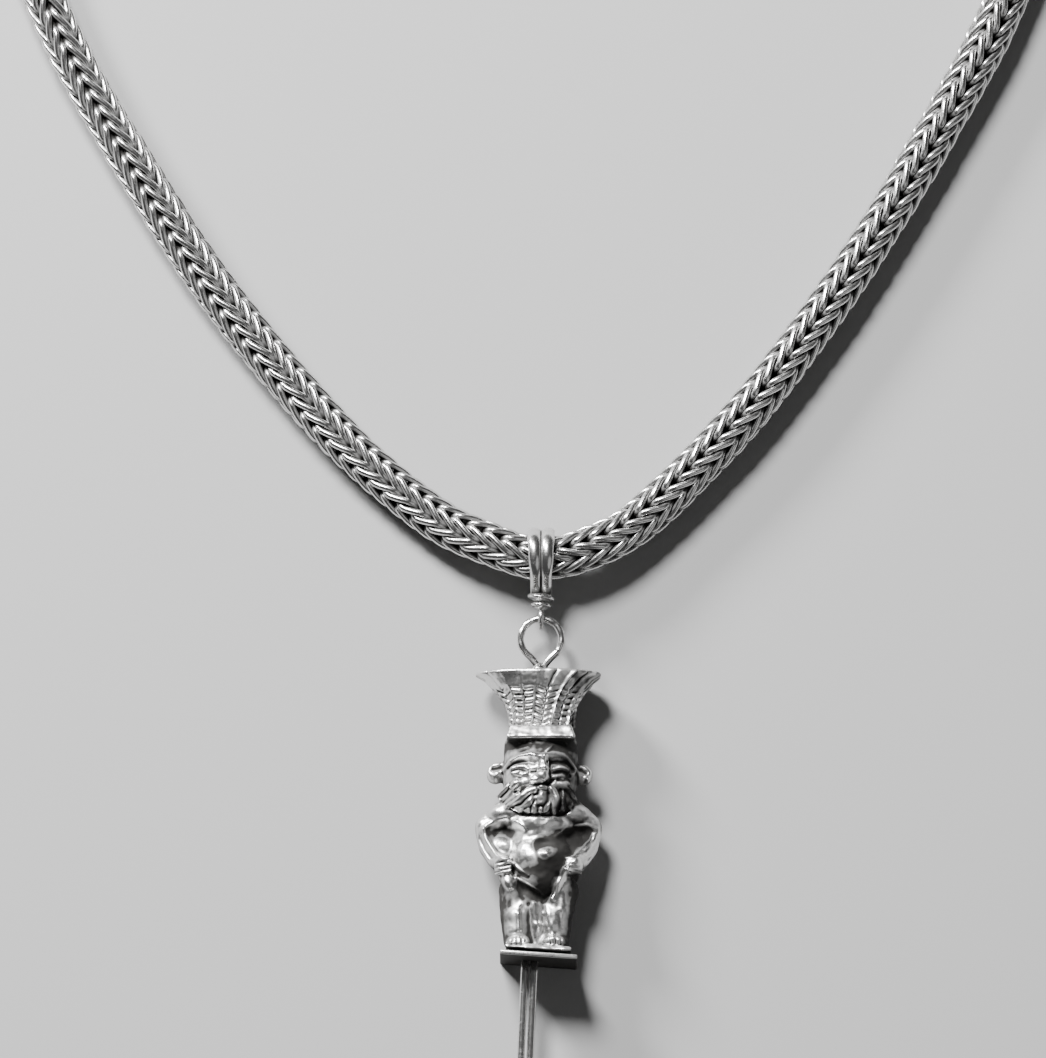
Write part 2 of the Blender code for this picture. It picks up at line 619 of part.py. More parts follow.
def terminal_cap(name, face, direction, material):
    """A turned cap: a closed end with a shoulder, a bead, and a bore that takes the chain's end."""
    bead = CAP_WALL * 0.55
    profile = (
        (0.0, 0.0), (CAP_SHOULDER_RADIUS, 0.0), (CAP_RADIUS * 0.92, CAP_END * 0.85),
        (CAP_RADIUS, CAP_END * 1.4), (CAP_RADIUS, CAP_LENGTH * 0.82),
        (CAP_RADIUS - bead, CAP_LENGTH * 0.85), (CAP_RADIUS, CAP_LENGTH * 0.90),
        (CAP_RADIUS, CAP_LENGTH), (CAP_BORE, CAP_LENGTH), (CAP_BORE, CAP_END), (0.0, CAP_END),
    )
    mesh = bpy.data.meshes.new(name)
    mesh.from_pydata([(radius, 0, -along) for radius, along in profile],
                     [(i, i + 1) for i in range(len(profile) - 1)], [])
    cap = add_part(name, mesh, material)
    screw = cap.modifiers.new("turn", "SCREW")
    screw.steps = 14
    screw.render_steps = 14
    screw.use_merge_vertices = True
    screw.merge_threshold = 1e-5
    cap.location = (face, NECKLACE_LENGTH, CAP_RADIUS)
    cap.rotation_euler = (0, direction * math.pi / 2, 0)
    return smooth(cap)


def clasp_hook(material):
    """A hook whose bend goes down through the eye and back under its rim."""
    bend = HOOK_BEND
    tail = bend * 1.25
    points = [Vector((-HOOK_REACH + CLEARANCE, 0, 0)), Vector((-HOOK_REACH * 0.82, 0, bend * 0.12)),
              Vector((-HOOK_REACH * 0.6, 0, bend * 0.75)), Vector((-HOOK_REACH * 0.42, 0, bend))]
    for i in range(9):
        angle = math.pi / 2 - math.pi * i / 8
        points.append(Vector((bend * math.cos(angle), 0, bend * math.sin(angle))))
    points.append(Vector((-tail, 0, -bend * 0.9)))
    hook = add_part("clasp_hook", wire("clasp_hook", points, CLASP_WIRE, sides_level=1), material)
    hook.location = (0, NECKLACE_LENGTH, CAP_RADIUS)
    return hook


def clasp_eye(material):
    """A ring on a short stem, lying flat."""
    centre = CLASP_EYE_RADIUS
    ring = [Vector((centre + CLASP_EYE_RADIUS * math.cos(a), CLASP_EYE_RADIUS * math.sin(a), 0))
            for a in (math.tau * i / 18 for i in range(18))]
    curve = wire("clasp_eye", ring, CLASP_WIRE, closed=True, sides_level=1)
    eye = solid_from_curve("clasp_eye", curve, material)
    outer = 2 * CLASP_EYE_RADIUS
    stem = [Vector((outer, 0, 0)), Vector((CAP_FACE_RIGHT - CLEARANCE, 0, 0))]
    rod = wire("clasp_eye_stem", stem, CLASP_WIRE * 0.94, sides_level=1)
    post = solid_from_curve("clasp_eye_stem", rod, material, CUTTERS)
    boolean(eye, post, "UNION")
    for piece in (eye, post):
        piece.location = (0, NECKLACE_LENGTH, CAP_RADIUS)
    return smooth(eye)


def main():
    start_scene()
    frame = bpy.data.objects.new("necklace_frame", None)
    bpy.data.collections[PARTS].objects.link(frame)
    way = ChainWay()
    bright = silver("worked_silver", (0.66, 0.65, 0.62), 0.26)
    cast = silver("cast_silver", (0.64, 0.63, 0.60), 0.34)
    dull = silver("tarnished_silver", (0.50, 0.49, 0.46), 0.40)
    chain(way, bright)
    bail(bright)
    crown_ring(bright)
    amulet_figure(cast)
    base_plate(cast)
    lower_wire_loop(bright)
    terminal_cap("terminal_cap_left", CAP_FACE_LEFT, 1, dull)
    terminal_cap("terminal_cap_right", CAP_FACE_RIGHT, -1, dull)
    clasp_hook(dull)
    clasp_eye(dull)
    lowest = PLATE_BOTTOM - CLEARANCE - LOWER_WIRE_LENGTH
    frame.location = (-(way.left_edge + way.right_edge) / 2, -(way.top + CAP_RADIUS + lowest) / 2, 0)


main()
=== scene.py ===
"""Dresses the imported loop-in-loop necklace: wire links, cast amulet, bail, rings, caps and clasp.

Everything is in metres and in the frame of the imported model: +Y from the pendant to the clasp, +Z up.
"""
import math

import bmesh
import bpy
import numpy as np
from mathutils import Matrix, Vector, noise


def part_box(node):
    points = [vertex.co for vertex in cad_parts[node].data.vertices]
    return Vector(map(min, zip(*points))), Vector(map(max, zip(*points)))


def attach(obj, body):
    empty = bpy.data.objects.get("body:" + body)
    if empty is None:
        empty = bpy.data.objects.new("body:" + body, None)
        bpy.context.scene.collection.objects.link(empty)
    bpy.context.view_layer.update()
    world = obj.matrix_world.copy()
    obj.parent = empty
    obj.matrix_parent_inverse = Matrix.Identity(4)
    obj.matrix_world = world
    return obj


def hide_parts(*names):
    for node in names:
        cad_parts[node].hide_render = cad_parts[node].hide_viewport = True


bl_info = {
    "name": "Loop-in-loop Necklace",
    "version": (1, 0, 0),
    "blender": (4, 5, 0),
    "location": "View3D > Sidebar > Necklace",
    "description": "Builds the links, amulet, bail and clasp of a loop-in-loop chain necklace",
    "category": "Add Mesh",
}

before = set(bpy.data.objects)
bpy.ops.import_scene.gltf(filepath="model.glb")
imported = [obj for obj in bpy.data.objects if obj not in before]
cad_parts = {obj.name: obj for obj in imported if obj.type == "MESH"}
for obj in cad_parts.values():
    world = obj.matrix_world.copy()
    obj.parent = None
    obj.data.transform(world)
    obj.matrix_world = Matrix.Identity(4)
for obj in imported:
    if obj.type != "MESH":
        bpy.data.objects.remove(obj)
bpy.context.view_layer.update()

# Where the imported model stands: the bail's top and the ring's middle give the chain's own origin.
CLEARANCE = 0.0003
# How far a wire's end is let into the piece that it is soldered to.
LET_IN = 0.0004
BAIL_THICKNESS = 0.0006
BAIL_WIDTH = 0.0027
BAIL_REACH = 0.0031
RING_LOW, RING_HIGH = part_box("crown_ring")
ORIGIN = Vector(((RING_LOW.x + RING_HIGH.x) / 2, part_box("bail")[1].y - BAIL_REACH, 0))

# The way the loose chain lies, from the bail up: shares of half the width and of the length.
LEFT_WAY = (
    (0.095, 0.012), (0.191, 0.033), (0.345, 0.088), (0.533, 0.180), (0.672, 0.266), (0.831, 0.382),
    (0.938, 0.505), (0.995, 0.645), (0.962, 0.785), (0.800, 0.905), (0.530, 0.980), (0.330, 1.0),
)
RIGHT_WAY = (
    (0.090, 0.009), (0.180, 0.032), (0.335, 0.097), (0.463, 0.165), (0.573, 0.233), (0.680, 0.308),
    (0.790, 0.394), (0.905, 0.520), (0.990, 0.655), (0.962, 0.790), (0.800, 0.907), (0.540, 0.980),
    (0.350, 1.0),
)
NECKLACE_WIDTH = 0.117
NECKLACE_LENGTH = 0.142
RISE_LENGTH = 0.0105
CAP_LENGTH = 0.008
CAP_RADIUS = 0.00295
CAP_FACE_LEFT = -0.0056
CAP_FACE_RIGHT = 0.00565
CAP_END_GAP = 0.0015
WAY_STEPS = 12

# One side of a link's bight, from the middle of the chain out to the crest and down to the arch's top.
# Each row: how far round towards the next line, depth under the crest in wires, distance forward in links.
BIGHT = (
    (0.21, 0.66, -0.20), (0.22, 0.14, 0.00), (0.27, 0.0, 0.20), (0.53, -0.05, 0.66), (0.77, 0.0, 1.08),
    (0.87, 0.18, 1.34), (0.88, 0.55, 1.56), (0.74, 0.92, 1.82), (0.40, 1.12, 2.06), (0.0, 1.18, 2.20),
)
BIGHT_SAMPLES = (1, 1, 2, 2, 2, 1, 2, 1, 1)


class ChainSettings(bpy.types.PropertyGroup):
    wire: bpy.props.FloatProperty(
        name="Link wire", description="Thickness of the wire of the links", default=0.00066, min=0.0002,
        subtype="DISTANCE", unit="LENGTH")
    pitch: bpy.props.FloatProperty(
        name="Link pitch", description="Distance from one link to the next", default=0.00186, min=0.001,
        subtype="DISTANCE", unit="LENGTH")
    crest: bpy.props.FloatProperty(
        name="Chain radius", description="From the chain's middle to the crest of its wires", default=0.0022,
        min=0.001, subtype="DISTANCE", unit="LENGTH")
    twist_at_bail: bpy.props.FloatProperty(
        name="Twist at the bail", description="Angle of a line of openings where the bail holds the chain",
        default=math.radians(-21), subtype="ANGLE", unit="ROTATION")
    twist_before: bpy.props.FloatProperty(
        name="Twist a link, left", description="Turn from link to link on the left side",
        default=math.radians(1.67), subtype="ANGLE", unit="ROTATION")
    twist_after: bpy.props.FloatProperty(
        name="Twist a link, right", description="Turn from link to link on the right side",
        default=math.radians(1.15), subtype="ANGLE", unit="ROTATION")
    sides: bpy.props.IntProperty(
        name="Wire sides", description="Flat sides round the wire of a link", default=7, min=5, max=12)


class AmuletSettings(bpy.types.PropertyGroup):
    height: bpy.props.FloatProperty(
        name="Amulet height", description="From the step under the feet to the top of the plumes",
        default=0.0283, min=0.01, subtype="DISTANCE", unit="LENGTH")
    voxel: bpy.props.FloatProperty(
        name="Clay grain", description="Size of the grain in which the amulet is modelled", default=0.000125,
        min=0.0001, subtype="DISTANCE", unit="LENGTH")
    relief: bpy.props.FloatProperty(
        name="Relief", description="Strength of the chased lines and ridges", default=1.0, min=0.0, max=2.0,
        subtype="FACTOR")


class FinishSettings(bpy.types.PropertyGroup):
    bright: bpy.props.FloatVectorProperty(
        name="Bright silver", description="Colour of silver kept bright by wear",
        default=(0.80, 0.796, 0.788), size=3, min=0, max=1, subtype="COLOR")
    # The tarnish colour is also the colour of the painted shade.
    dark: bpy.props.FloatVectorProperty(
        name="Tarnish", description="Colour of the tarnish in the hollows", default=(0.030, 0.029, 0.028),
        size=3, min=0, max=1, subtype="COLOR")
    roughness: bpy.props.FloatProperty(
        name="Roughness", description="Roughness of the worn silver", default=0.22, min=0.05, max=1,
        subtype="FACTOR")


class StageSettings(bpy.types.PropertyGroup):
    floor: bpy.props.FloatVectorProperty(
        name="Floor", description="Colour of the plain floor", default=(0.44, 0.44, 0.44), size=3,
        min=0, max=1, subtype="COLOR")
    lens: bpy.props.FloatProperty(
        name="Lens", description="Focal length of the camera in millimetres", default=500, min=20)
    key: bpy.props.FloatProperty(
        name="Key light", description="Power of the light from the upper left, in watts", default=6.5,
        min=0)
    side: bpy.props.FloatProperty(
        name="Side light", description="Power of the low light from the upper left, in watts",
        default=10.0, min=0)
    fill: bpy.props.FloatProperty(
        name="Fill light", description="Power of the soft light from the lower right, in watts",
        default=0.25, min=0)
    room: bpy.props.FloatProperty(
        name="Room light", description="Strength of the even light all round", default=0.08, min=0)


# Shapes that several pieces share.


def curve_points(controls, steps):
    """A smooth curve through the control points."""
    controls = [np.asarray(point, float) for point in controls]
    ends = [controls[0] * 2 - controls[1], *controls, controls[-1] * 2 - controls[-2]]
    points = []
    for a, b, c, d in zip(ends, ends[1:], ends[2:], ends[3:]):
        for i in range(steps):
            points.append(between(a, b, c, d, i / steps))
    points.append(controls[-1])
    return np.array(points)


def between(a, b, c, d, t):
    """The place at a share t of the way from b to c on the smooth curve through four points."""
    return 0.5 * (2 * b + (c - a) * t + (2 * a - 5 * b + 4 * c - d) * t**2 + (3 * b - a - 3 * c + d) * t**3)


def circle(count):
    """The cosine and sine of equal steps round a circle."""
    return [(math.cos(math.tau * i / count), math.sin(math.tau * i / count)) for i in range(count)]


def arc(opened, count):
    """The cosine and sine of steps round a circle that is open by an angle on each side of its foot."""
    angles = [-math.pi / 2 + opened + (math.tau - 2 * opened) * i / (count - 1) for i in range(count)]
    return [(math.cos(angle), math.sin(angle)) for angle in angles]


def unit(vectors):
    """Vectors of the same directions and of length 1."""
    return vectors / np.maximum(np.linalg.norm(vectors, axis=-1, keepdims=True), 1e-12)


def ramp(distance, width):
    """From 0 up to 1 while a distance grows from 0 to the width."""
    return np.clip(distance / width, 0, 1)


def rotated(x, y, angle):
    """Places in a plane, turned by an angle round its origin."""
    cos, sin = math.cos(angle), math.sin(angle)
    return x * cos - y * sin, x * sin + y * cos


def carried_normals(points, closed):
    """The path's direction at each point, and one across it that is carried along without twisting."""
    after, before = np.roll(points, -1, axis=0), np.roll(points, 1, axis=0)
    if not closed:
        after[-1], before[0] = points[-1], points[0]
    along = unit(after - before)
    start = np.cross(along[0], (0.0, 0.0, 1.0))
    if np.linalg.norm(start) < 0.1:
        start = np.cross(along[0], (1.0, 0.0, 0.0))
    normals = [unit(start)]
    for way in along[1:]:
        normals.append(unit(normals[-1] - way * np.dot(normals[-1], way)))
    normals = np.array(normals)
    if closed:
        last = unit(normals[-1] - along[0] * np.dot(normals[-1], along[0]))
        twist = math.atan2(np.dot(np.cross(normals[0], last), along[0]), np.dot(normals[0], last))
        turn = -twist * np.arange(len(points)) / len(points)
        other = np.cross(along, normals)
        normals = normals * np.cos(turn)[:, None] + other * np.sin(turn)[:, None]
    return along, normals


def tube(points, radii, sides=12, closed=False):
    """Vertices and faces of a round wire along the points; an open one has domed ends."""
    points = np.asarray(points, float)
    radii = np.broadcast_to(np.asarray(radii, float), len(points)).copy()
    if not closed:
        first, last = unit(points[0] - points[1]), unit(points[-1] - points[-2])
        dome = radii[0] * 0.45, radii[-1] * 0.45
        points = np.vstack([points[0] + first * dome[0], points, points[-1] + last * dome[1]])
        radii = np.concatenate([[radii[0] * 0.55], radii, [radii[-1] * 0.55]])
    along, normals = carried_normals(points, closed)
    other = np.cross(along, normals)
    angles = math.tau * np.arange(sides) / sides
    ring = normals[:, None] * np.cos(angles)[None, :, None] + other[:, None] * np.sin(angles)[None, :, None]
    verts = (points[:, None] + ring * radii[:, None, None]).reshape(-1, 3)
    return verts, ring_faces(len(points), sides, closed)


def ring_faces(rings, sides, closed=False):
    """Faces between rings of as many points, and one on each end unless the last ring joins the first."""
    faces = []
    for i in range(rings if closed else rings - 1):
        a, b = i * sides, (i + 1) % rings * sides
        for k in range(sides):
            j = (k + 1) % sides
            faces.append((a + k, a + j, b + j, b + k))
    if not closed:
        faces += [tuple(range(sides))[::-1], tuple(range((rings - 1) * sides, rings * sides))]
    return faces


def turned(profile, segments, axis_at, axis="Y"):
    """A turned form: the profile's radius and place along the axis, swept round it."""
    verts = []
    for radius, along in profile:
        for c, s in circle(segments):
            spot = (radius * c, along, radius * s) if axis == "Y" else (along, radius * c, radius * s)
            verts.append(np.add(axis_at, spot))
    return np.array(verts), ring_faces(len(profile), segments)


def joined(shapes):
    """Several shapes as one: their vertices and faces put together."""
    verts, faces, count = [], [], 0
    for points, polygons in shapes:
        verts.append(np.asarray(points, float))
        faces += [tuple(i + count for i in polygon) for polygon in polygons]
        count += len(points)
    return np.vstack(verts), faces


def outward(mesh):
    """Turns all faces outward."""
    bm = bmesh.new()
    bm.from_mesh(mesh)
    bmesh.ops.recalc_face_normals(bm, faces=bm.faces)
    bm.to_mesh(mesh)
    bm.free()


def hollows(verts, edges, rounds, reach):
    """The step from each vertex to the relaxed surface, over the reach: outward where the surface dips in.
    """
    relaxed = verts.copy()
    count = np.maximum(np.bincount(edges.ravel(), minlength=len(verts)), 1)[:, None]
    for _ in range(rounds):
        total = np.zeros_like(relaxed)
        for axis in range(3):
            total[:, axis] = np.bincount(edges[:, 0], relaxed[edges[:, 1], axis], len(verts))
            total[:, axis] += np.bincount(edges[:, 1], relaxed[edges[:, 0], axis], len(verts))
        relaxed = total / count
    return (relaxed - verts) / reach


def mesh_arrays(mesh):
    """A mesh's vertices, edges and vertex normals."""
    verts = np.zeros(len(mesh.vertices) * 3)
    mesh.vertices.foreach_get("co", verts)
    edges = np.zeros(len(mesh.edges) * 2, dtype=np.int64)
    mesh.edges.foreach_get("vertices", edges)
    normals = np.zeros(len(mesh.vertices) * 3)
    mesh.vertices.foreach_get("normal", normals)
    return verts.reshape(-1, 3), edges.reshape(-1, 2), normals.reshape(-1, 3)


def store_darkening(mesh, values):
    """Keeps how dark each vertex is to be: tarnish and painted shade, less any painted highlight."""
    attribute = mesh.attributes.new("tarnish_and_painted_shade", "FLOAT", "POINT")
    attribute.data.foreach_set("value", np.clip(values, 0, 1).astype(np.float32))


def move_verts(mesh, points):
    """Puts a mesh's vertices at these points."""
    mesh.vertices.foreach_set("co", points.ravel().astype(np.float32))
    mesh.update()


def in_scene(name, data):
    """A new object in the scene that shows this mesh, light or camera."""
    made = bpy.data.objects.new(name, data)
    bpy.context.scene.collection.objects.link(made)
    return made


def add_piece(name, mesh, finish, replaced, angle=None):
    """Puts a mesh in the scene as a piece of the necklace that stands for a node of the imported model."""
    mesh.shade_smooth()
    if angle is not None:
        mesh.set_sharp_from_angle(angle=math.radians(angle))
    mesh.materials.append(finish)
    piece = in_scene(name, mesh)
    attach(piece, "root")
    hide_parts(replaced)
    return piece


def steep_side_tarnish_and_shade(normals):
    """How far each place turns away from the top: darker there, as tarnish that wear doesn't reach and as
    painted shade.
    """
    return np.clip(0.85 - normals[:, 2], 0, 1)


def piece_from(name, shape, finish, replaced, angle=None, reach=0.00008, base=0.0):
    """A piece from vertices and faces given from the chain's own origin, tarnished in its hollows."""
    verts, faces = shape
    mesh = bpy.data.meshes.new(name)
    mesh.from_pydata([tuple(point) for point in np.asarray(verts) + np.array(ORIGIN)], [], faces)
    outward(mesh)
    mesh.update()
    verts, edges, normals = mesh_arrays(mesh)
    depth = (hollows(verts, edges, 3, reach) * normals).sum(axis=1)
    # Darker in the fine hollows, as tarnish, and on the steep sides, as tarnish and painted shade.
    store_darkening(mesh, np.maximum(depth, -0.1) + base + steep_side_tarnish_and_shade(normals) * 0.5)
    return add_piece(name, mesh, finish, replaced, angle)


# The finishes.


class Wire:
    """A socket of a finish, with arithmetic that adds its Math nodes."""

    def __init__(self, finish, socket):
        self.finish = finish
        self.socket = socket

    def math(self, operation, *values):
        """The result of a Math node on these values or sockets."""
        return self.finish.node("ShaderNodeMath", {"operation": operation}, dict(enumerate(values)))

    def __add__(self, other):
        return self.math("ADD", self, other)

    def __radd__(self, other):
        return self.math("ADD", other, self)

    def __sub__(self, other):
        return self.math("SUBTRACT", self, other)

    def __rsub__(self, other):
        return self.math("SUBTRACT", other, self)

    def __mul__(self, other):
        return self.math("MULTIPLY", self, other)

    def __rmul__(self, other):
        return self.math("MULTIPLY", other, self)

    def clamped(self):
        """The value kept between 0 and 1."""
        return self.finish.node("ShaderNodeClamp", {}, {"Value": self})


class Finish:
    """A material and its nodes."""

    def __init__(self, name):
        self.material = bpy.data.materials.new(name)
        self.material.use_nodes = True
        self.tree = self.material.node_tree
        self.tree.nodes.clear()

    def plug(self, socket, value):
        """Links a wire to a socket, or sets the socket's own value."""
        if isinstance(value, Wire):
            self.tree.links.new(value.socket, socket)
        else:
            socket.default_value = value

    def node(self, kind, settings=None, sockets=None, output=0):
        """Adds a node: its settings first, then the values or links of its sockets."""
        made = self.tree.nodes.new(kind)
        for key, value in (settings or {}).items():
            setattr(made, key, value)
        for key, value in (sockets or {}).items():
            self.plug(made.inputs[key], value)
        return Wire(self, made.outputs[output])

    def mix(self, factor, first, second):
        """A colour between two colours."""
        made = self.node("ShaderNodeMix", {"data_type": "RGBA"}, {"Factor": factor}, output=2)
        self.plug(made.socket.node.inputs[6], first)
        self.plug(made.socket.node.inputs[7], second)
        return made

    def finish(self, **inputs):
        """The material, with these values and links on its shader's sockets."""
        shader = self.node("ShaderNodeBsdfPrincipled", {}, inputs)
        output = self.tree.nodes.new("ShaderNodeOutputMaterial")
        self.tree.links.new(shader.socket, output.inputs["Surface"])
        return self.material


def silver(name, wear=1.0, patchy=0.45, pits=0.3, shade=1.0, rough=0.0):
    """Worn silver: bright on crests, tarnished in hollows, with painted shade and highlights; patchy, finely
    scratched, pitted.
    """
    settings = bpy.context.scene.necklace_finish
    finish = Finish(name)
    place = finish.node("ShaderNodeTexCoord", output="Object")
    tarnish_and_painted_shade = finish.node("ShaderNodeAttribute", {"attribute_name": "tarnish_and_painted_shade"}, output="Fac")
    patches = finish.node("ShaderNodeTexNoise", {}, {"Vector": place, "Scale": 520.0, "Detail": 5.0})
    specks = finish.node("ShaderNodeTexNoise", {}, {"Vector": place, "Scale": 4200.0, "Detail": 3.0})
    stretch = finish.node("ShaderNodeMapping", {}, {"Vector": place, "Rotation": (0.3, 0.2, 0.6),
                                                    "Scale": (900.0, 9000.0, 2500.0)})
    scratches = finish.node("ShaderNodeTexNoise", {}, {"Vector": stretch, "Scale": 1.0, "Detail": 2.0})
    # The stored value brings tarnish and painted shade, less painted highlights; patches and specks add
    # uneven tarnish.
    tarnish_and_shade = (tarnish_and_painted_shade * 1.5 * wear + (patches - 0.5) * patchy + (specks - 0.5) * 0.20 - 0.02).clamped()
    bright = (*(channel * shade for channel in settings.bright), 1)
    middle = (*(channel * 0.36 * shade for channel in settings.bright), 1)
    worn = finish.mix((tarnish_and_shade * 2.0).clamped(), bright, middle)
    colour = finish.mix((tarnish_and_shade * 1.8 - 0.8).clamped(), worn, (*settings.dark, 1))
    roughness = (settings.roughness + rough) + tarnish_and_shade * 0.30
    roughness = roughness + (specks - 0.5) * 0.16 + (scratches - 0.5) * 0.12
    height = specks * 0.3 + scratches * 0.25 + patches * pits
    bump = finish.node("ShaderNodeBump", {}, {"Height": height, "Strength": 0.35, "Distance": 0.00003})
    return finish.finish(**{"Base Color": colour, "Roughness": roughness.clamped(),
                            "Metallic": (1.04 - tarnish_and_shade * 1.04).clamped(), "Specular IOR Level": 0.08,
                            "Normal": bump})


# The chain.


class ChainWay:
    """The chain's centre line from its left cap past the bail to its right cap, by length from the bail."""

    def __init__(self, settings):
        half = NECKLACE_WIDTH / 2
        mouth = CAP_LENGTH + settings.crest
        top = NECKLACE_LENGTH
        left = [(-x * half, y * top) for x, y in LEFT_WAY]
        right = [(x * half, y * top) for x, y in RIGHT_WAY]
        left += [(CAP_FACE_LEFT - mouth, top), (CAP_FACE_LEFT - CAP_END_GAP, top)]
        right += [(CAP_FACE_RIGHT + mouth, top), (CAP_FACE_RIGHT + CAP_END_GAP, top)]
        self.settings = settings
        self.points = curve_points([*reversed(left), (0, 0), *right], WAY_STEPS)
        steps = np.linalg.norm(np.diff(self.points, axis=0), axis=1)
        lengths = np.concatenate([[0], np.cumsum(steps)])
        self.lengths = lengths - lengths[len(left) * WAY_STEPS]
        self.start, self.end = self.lengths[0], self.lengths[-1]

    def height(self, length):
        """How high the chain's middle lies: it rises into the bail and into the caps."""
        def eased(distance):
            share = np.clip(1 - distance / RISE_LENGTH, 0, 1)
            return share * share * (3 - 2 * share)
        crest = self.settings.crest
        rise = (BAIL_REACH - crest) * eased(np.abs(length) - BAIL_WIDTH)
        ends = np.minimum(length - self.start, self.end - length)
        rise = rise + (CAP_RADIUS - crest) * eased(ends - CAP_LENGTH + CAP_END_GAP - CLEARANCE)
        return crest + rise

    def centre(self, length):
        """The chain's middle at a length from the bail."""
        x = np.interp(length, self.lengths, self.points[:, 0])
        y = np.interp(length, self.lengths, self.points[:, 1])
        return np.stack([x, y, self.height(length)], axis=-1)

    def placed(self, along, deep, side):
        """Places of the straight chain (along it, outward, sideways), bent and twisted to how it lies."""
        settings = self.settings
        step = settings.pitch / 2
        middle = np.clip(along, self.start + step, self.end - step)
        ahead = unit(self.centre(middle + step) - self.centre(middle - step))
        right = unit(np.cross(ahead, (0.0, 0.0, 1.0)))
        up = np.cross(right, ahead)
        rate = np.where(along < 0, settings.twist_before, settings.twist_after)
        turn = settings.twist_at_bail + rate * along / settings.pitch
        cos, sin = np.cos(turn)[..., None], np.sin(turn)[..., None]
        outward_way, side_way = up * cos + right * sin, right * cos - up * sin
        return self.centre(along) + outward_way * deep[..., None] + side_way * side[..., None]


def link_path(settings, turn, waist_shift):
    """One wire loop of the straight chain: out to a bight, back through the middle, and out opposite."""
    crest = settings.crest - settings.wire / 2
    quarter = math.pi / 4
    half_gap = settings.wire * 0.55
    waist = -0.45 * settings.pitch + waist_shift
    side = []
    for share, depth, forward in BIGHT:
        radius, angle = crest - depth * settings.wire, share * quarter
        side.append((radius * math.cos(angle), radius * math.sin(angle), forward * settings.pitch))
    inner = [(0.0, half_gap, waist), (crest * 0.45, half_gap, waist)]
    half = inner + side
    back = [(u, -v, z) for u, v, z in reversed(half[1:-1])]
    samples = (1, 1, *BIGHT_SAMPLES)
    counts = (*samples, *reversed(samples))
    bight = half + back
    loop, loop_counts = [], []
    for sign in (1, -1):
        loop += [(sign * u, sign * v, z) for u, v, z in bight]
        loop_counts += counts
    controls = np.array(loop)
    points = []
    for i, count in enumerate(loop_counts):
        a, b, c, d = (controls[(i + k) % len(controls)] for k in (-1, 0, 1, 2))
        points += [between(a, b, c, d, step / count) for step in range(count)]
    u, v, z = np.array(points).T
    return np.stack([*rotated(u, v, turn), z], axis=1)


def chain_links(name, way, first, last, seed, finish):
    """All the wire loops of one side of the chain as one piece."""
    settings = way.settings
    rng = np.random.default_rng(seed)
    pitch = settings.pitch
    places = np.arange(math.ceil(first / pitch), math.floor(last / pitch) + 1) * pitch
    verts, depths, quads, count = [], [], [], 0
    for turn, shift in ((0.0, settings.wire / 2), (math.pi / 2, -settings.wire / 2)):
        path = link_path(settings, turn, shift)
        points, faces = tube(path, settings.wire / 2, settings.sides, closed=True)
        u, v, z = points.T
        faces = np.array(faces)
        for place in places:
            grow = 1 + rng.normal(0, 0.010)
            lean, slide = rng.normal(0, 0.016), rng.normal(0, 0.035) * settings.wire
            deep, side = rotated(u, v, lean)
            verts.append(way.placed(place + z + slide, deep * grow, side * grow))
            depths.append(np.hypot(u, v))
            quads.append(faces + count)
            count += len(points)
    verts, quads = np.vstack(verts) + np.array(ORIGIN), np.vstack(quads)
    mesh = bpy.data.meshes.new(name)
    mesh.vertices.add(len(verts))
    mesh.vertices.foreach_set("co", verts.ravel().astype(np.float32))
    mesh.loops.add(quads.size)
    mesh.loops.foreach_set("vertex_index", quads.ravel().astype(np.int32))
    mesh.polygons.add(len(quads))
    mesh.polygons.foreach_set("loop_start", np.arange(0, quads.size, 4, dtype=np.int32))
    mesh.update(calc_edges=True)
    mesh.validate()
    # Darker with depth under the chain's crest, and on the steep sides as tarnish and painted shade.
    depth = (settings.crest - np.concatenate(depths)) / settings.wire
    store_darkening(mesh, depth - 0.28 + steep_side_tarnish_and_shade(mesh_arrays(mesh)[2]) * 0.5)
    return add_piece(name, mesh, finish, "loop_in_loop_chain")


class NECKLACE_OT_chain(bpy.types.Operator):
    """Weave the chain from its wire loops"""
    bl_idname = "necklace.chain"
    bl_label = "Loop-in-loop chain"

    def execute(self, context):
        way = ChainWay(context.scene.necklace_chain)
        finish = silver("chain_silver", wear=1.0, patchy=0.35, pits=0.15)
        pitch = way.settings.pitch
        reach = 2.6 * pitch
        chain_links("chain_links_left", way, way.start + pitch, -pitch / 2, 41, finish)
        chain_links("chain_links_right", way, 0.0, way.end - reach, 87, finish)
        return {"FINISHED"}


# The bail, the rings and the wires.


COLLAR_TOP = -(BAIL_REACH + 0.0005)
EYE_Y = -0.0061
EYE_WIRE = 0.0005
STRAP_OPENING = math.radians(38)
RING_WIRE = 0.0007
RING_RADIUS = 0.00206
RING_OPENING = math.radians(48)
RING_STEM_SPACING = 0.00072
CROWN_TOP = EYE_Y - 0.00566
FIGURE_X = -0.00025
LOWER_WIRE = 0.00076
LOWER_SPACING = 0.00092
LOWER_LENGTH = 0.0106
LOWER_LEAN = math.radians(2.5)
# The drop of solder over the ring's ends: how far up from the crown's top, and radius.
SOLDER = ((-0.0006, 0.0007), (-0.0002, 0.00082), (0.0002, 0.0008), (0.0006, 0.00072), (0.00095, 0.0005))
SOLDER_X = -0.00015


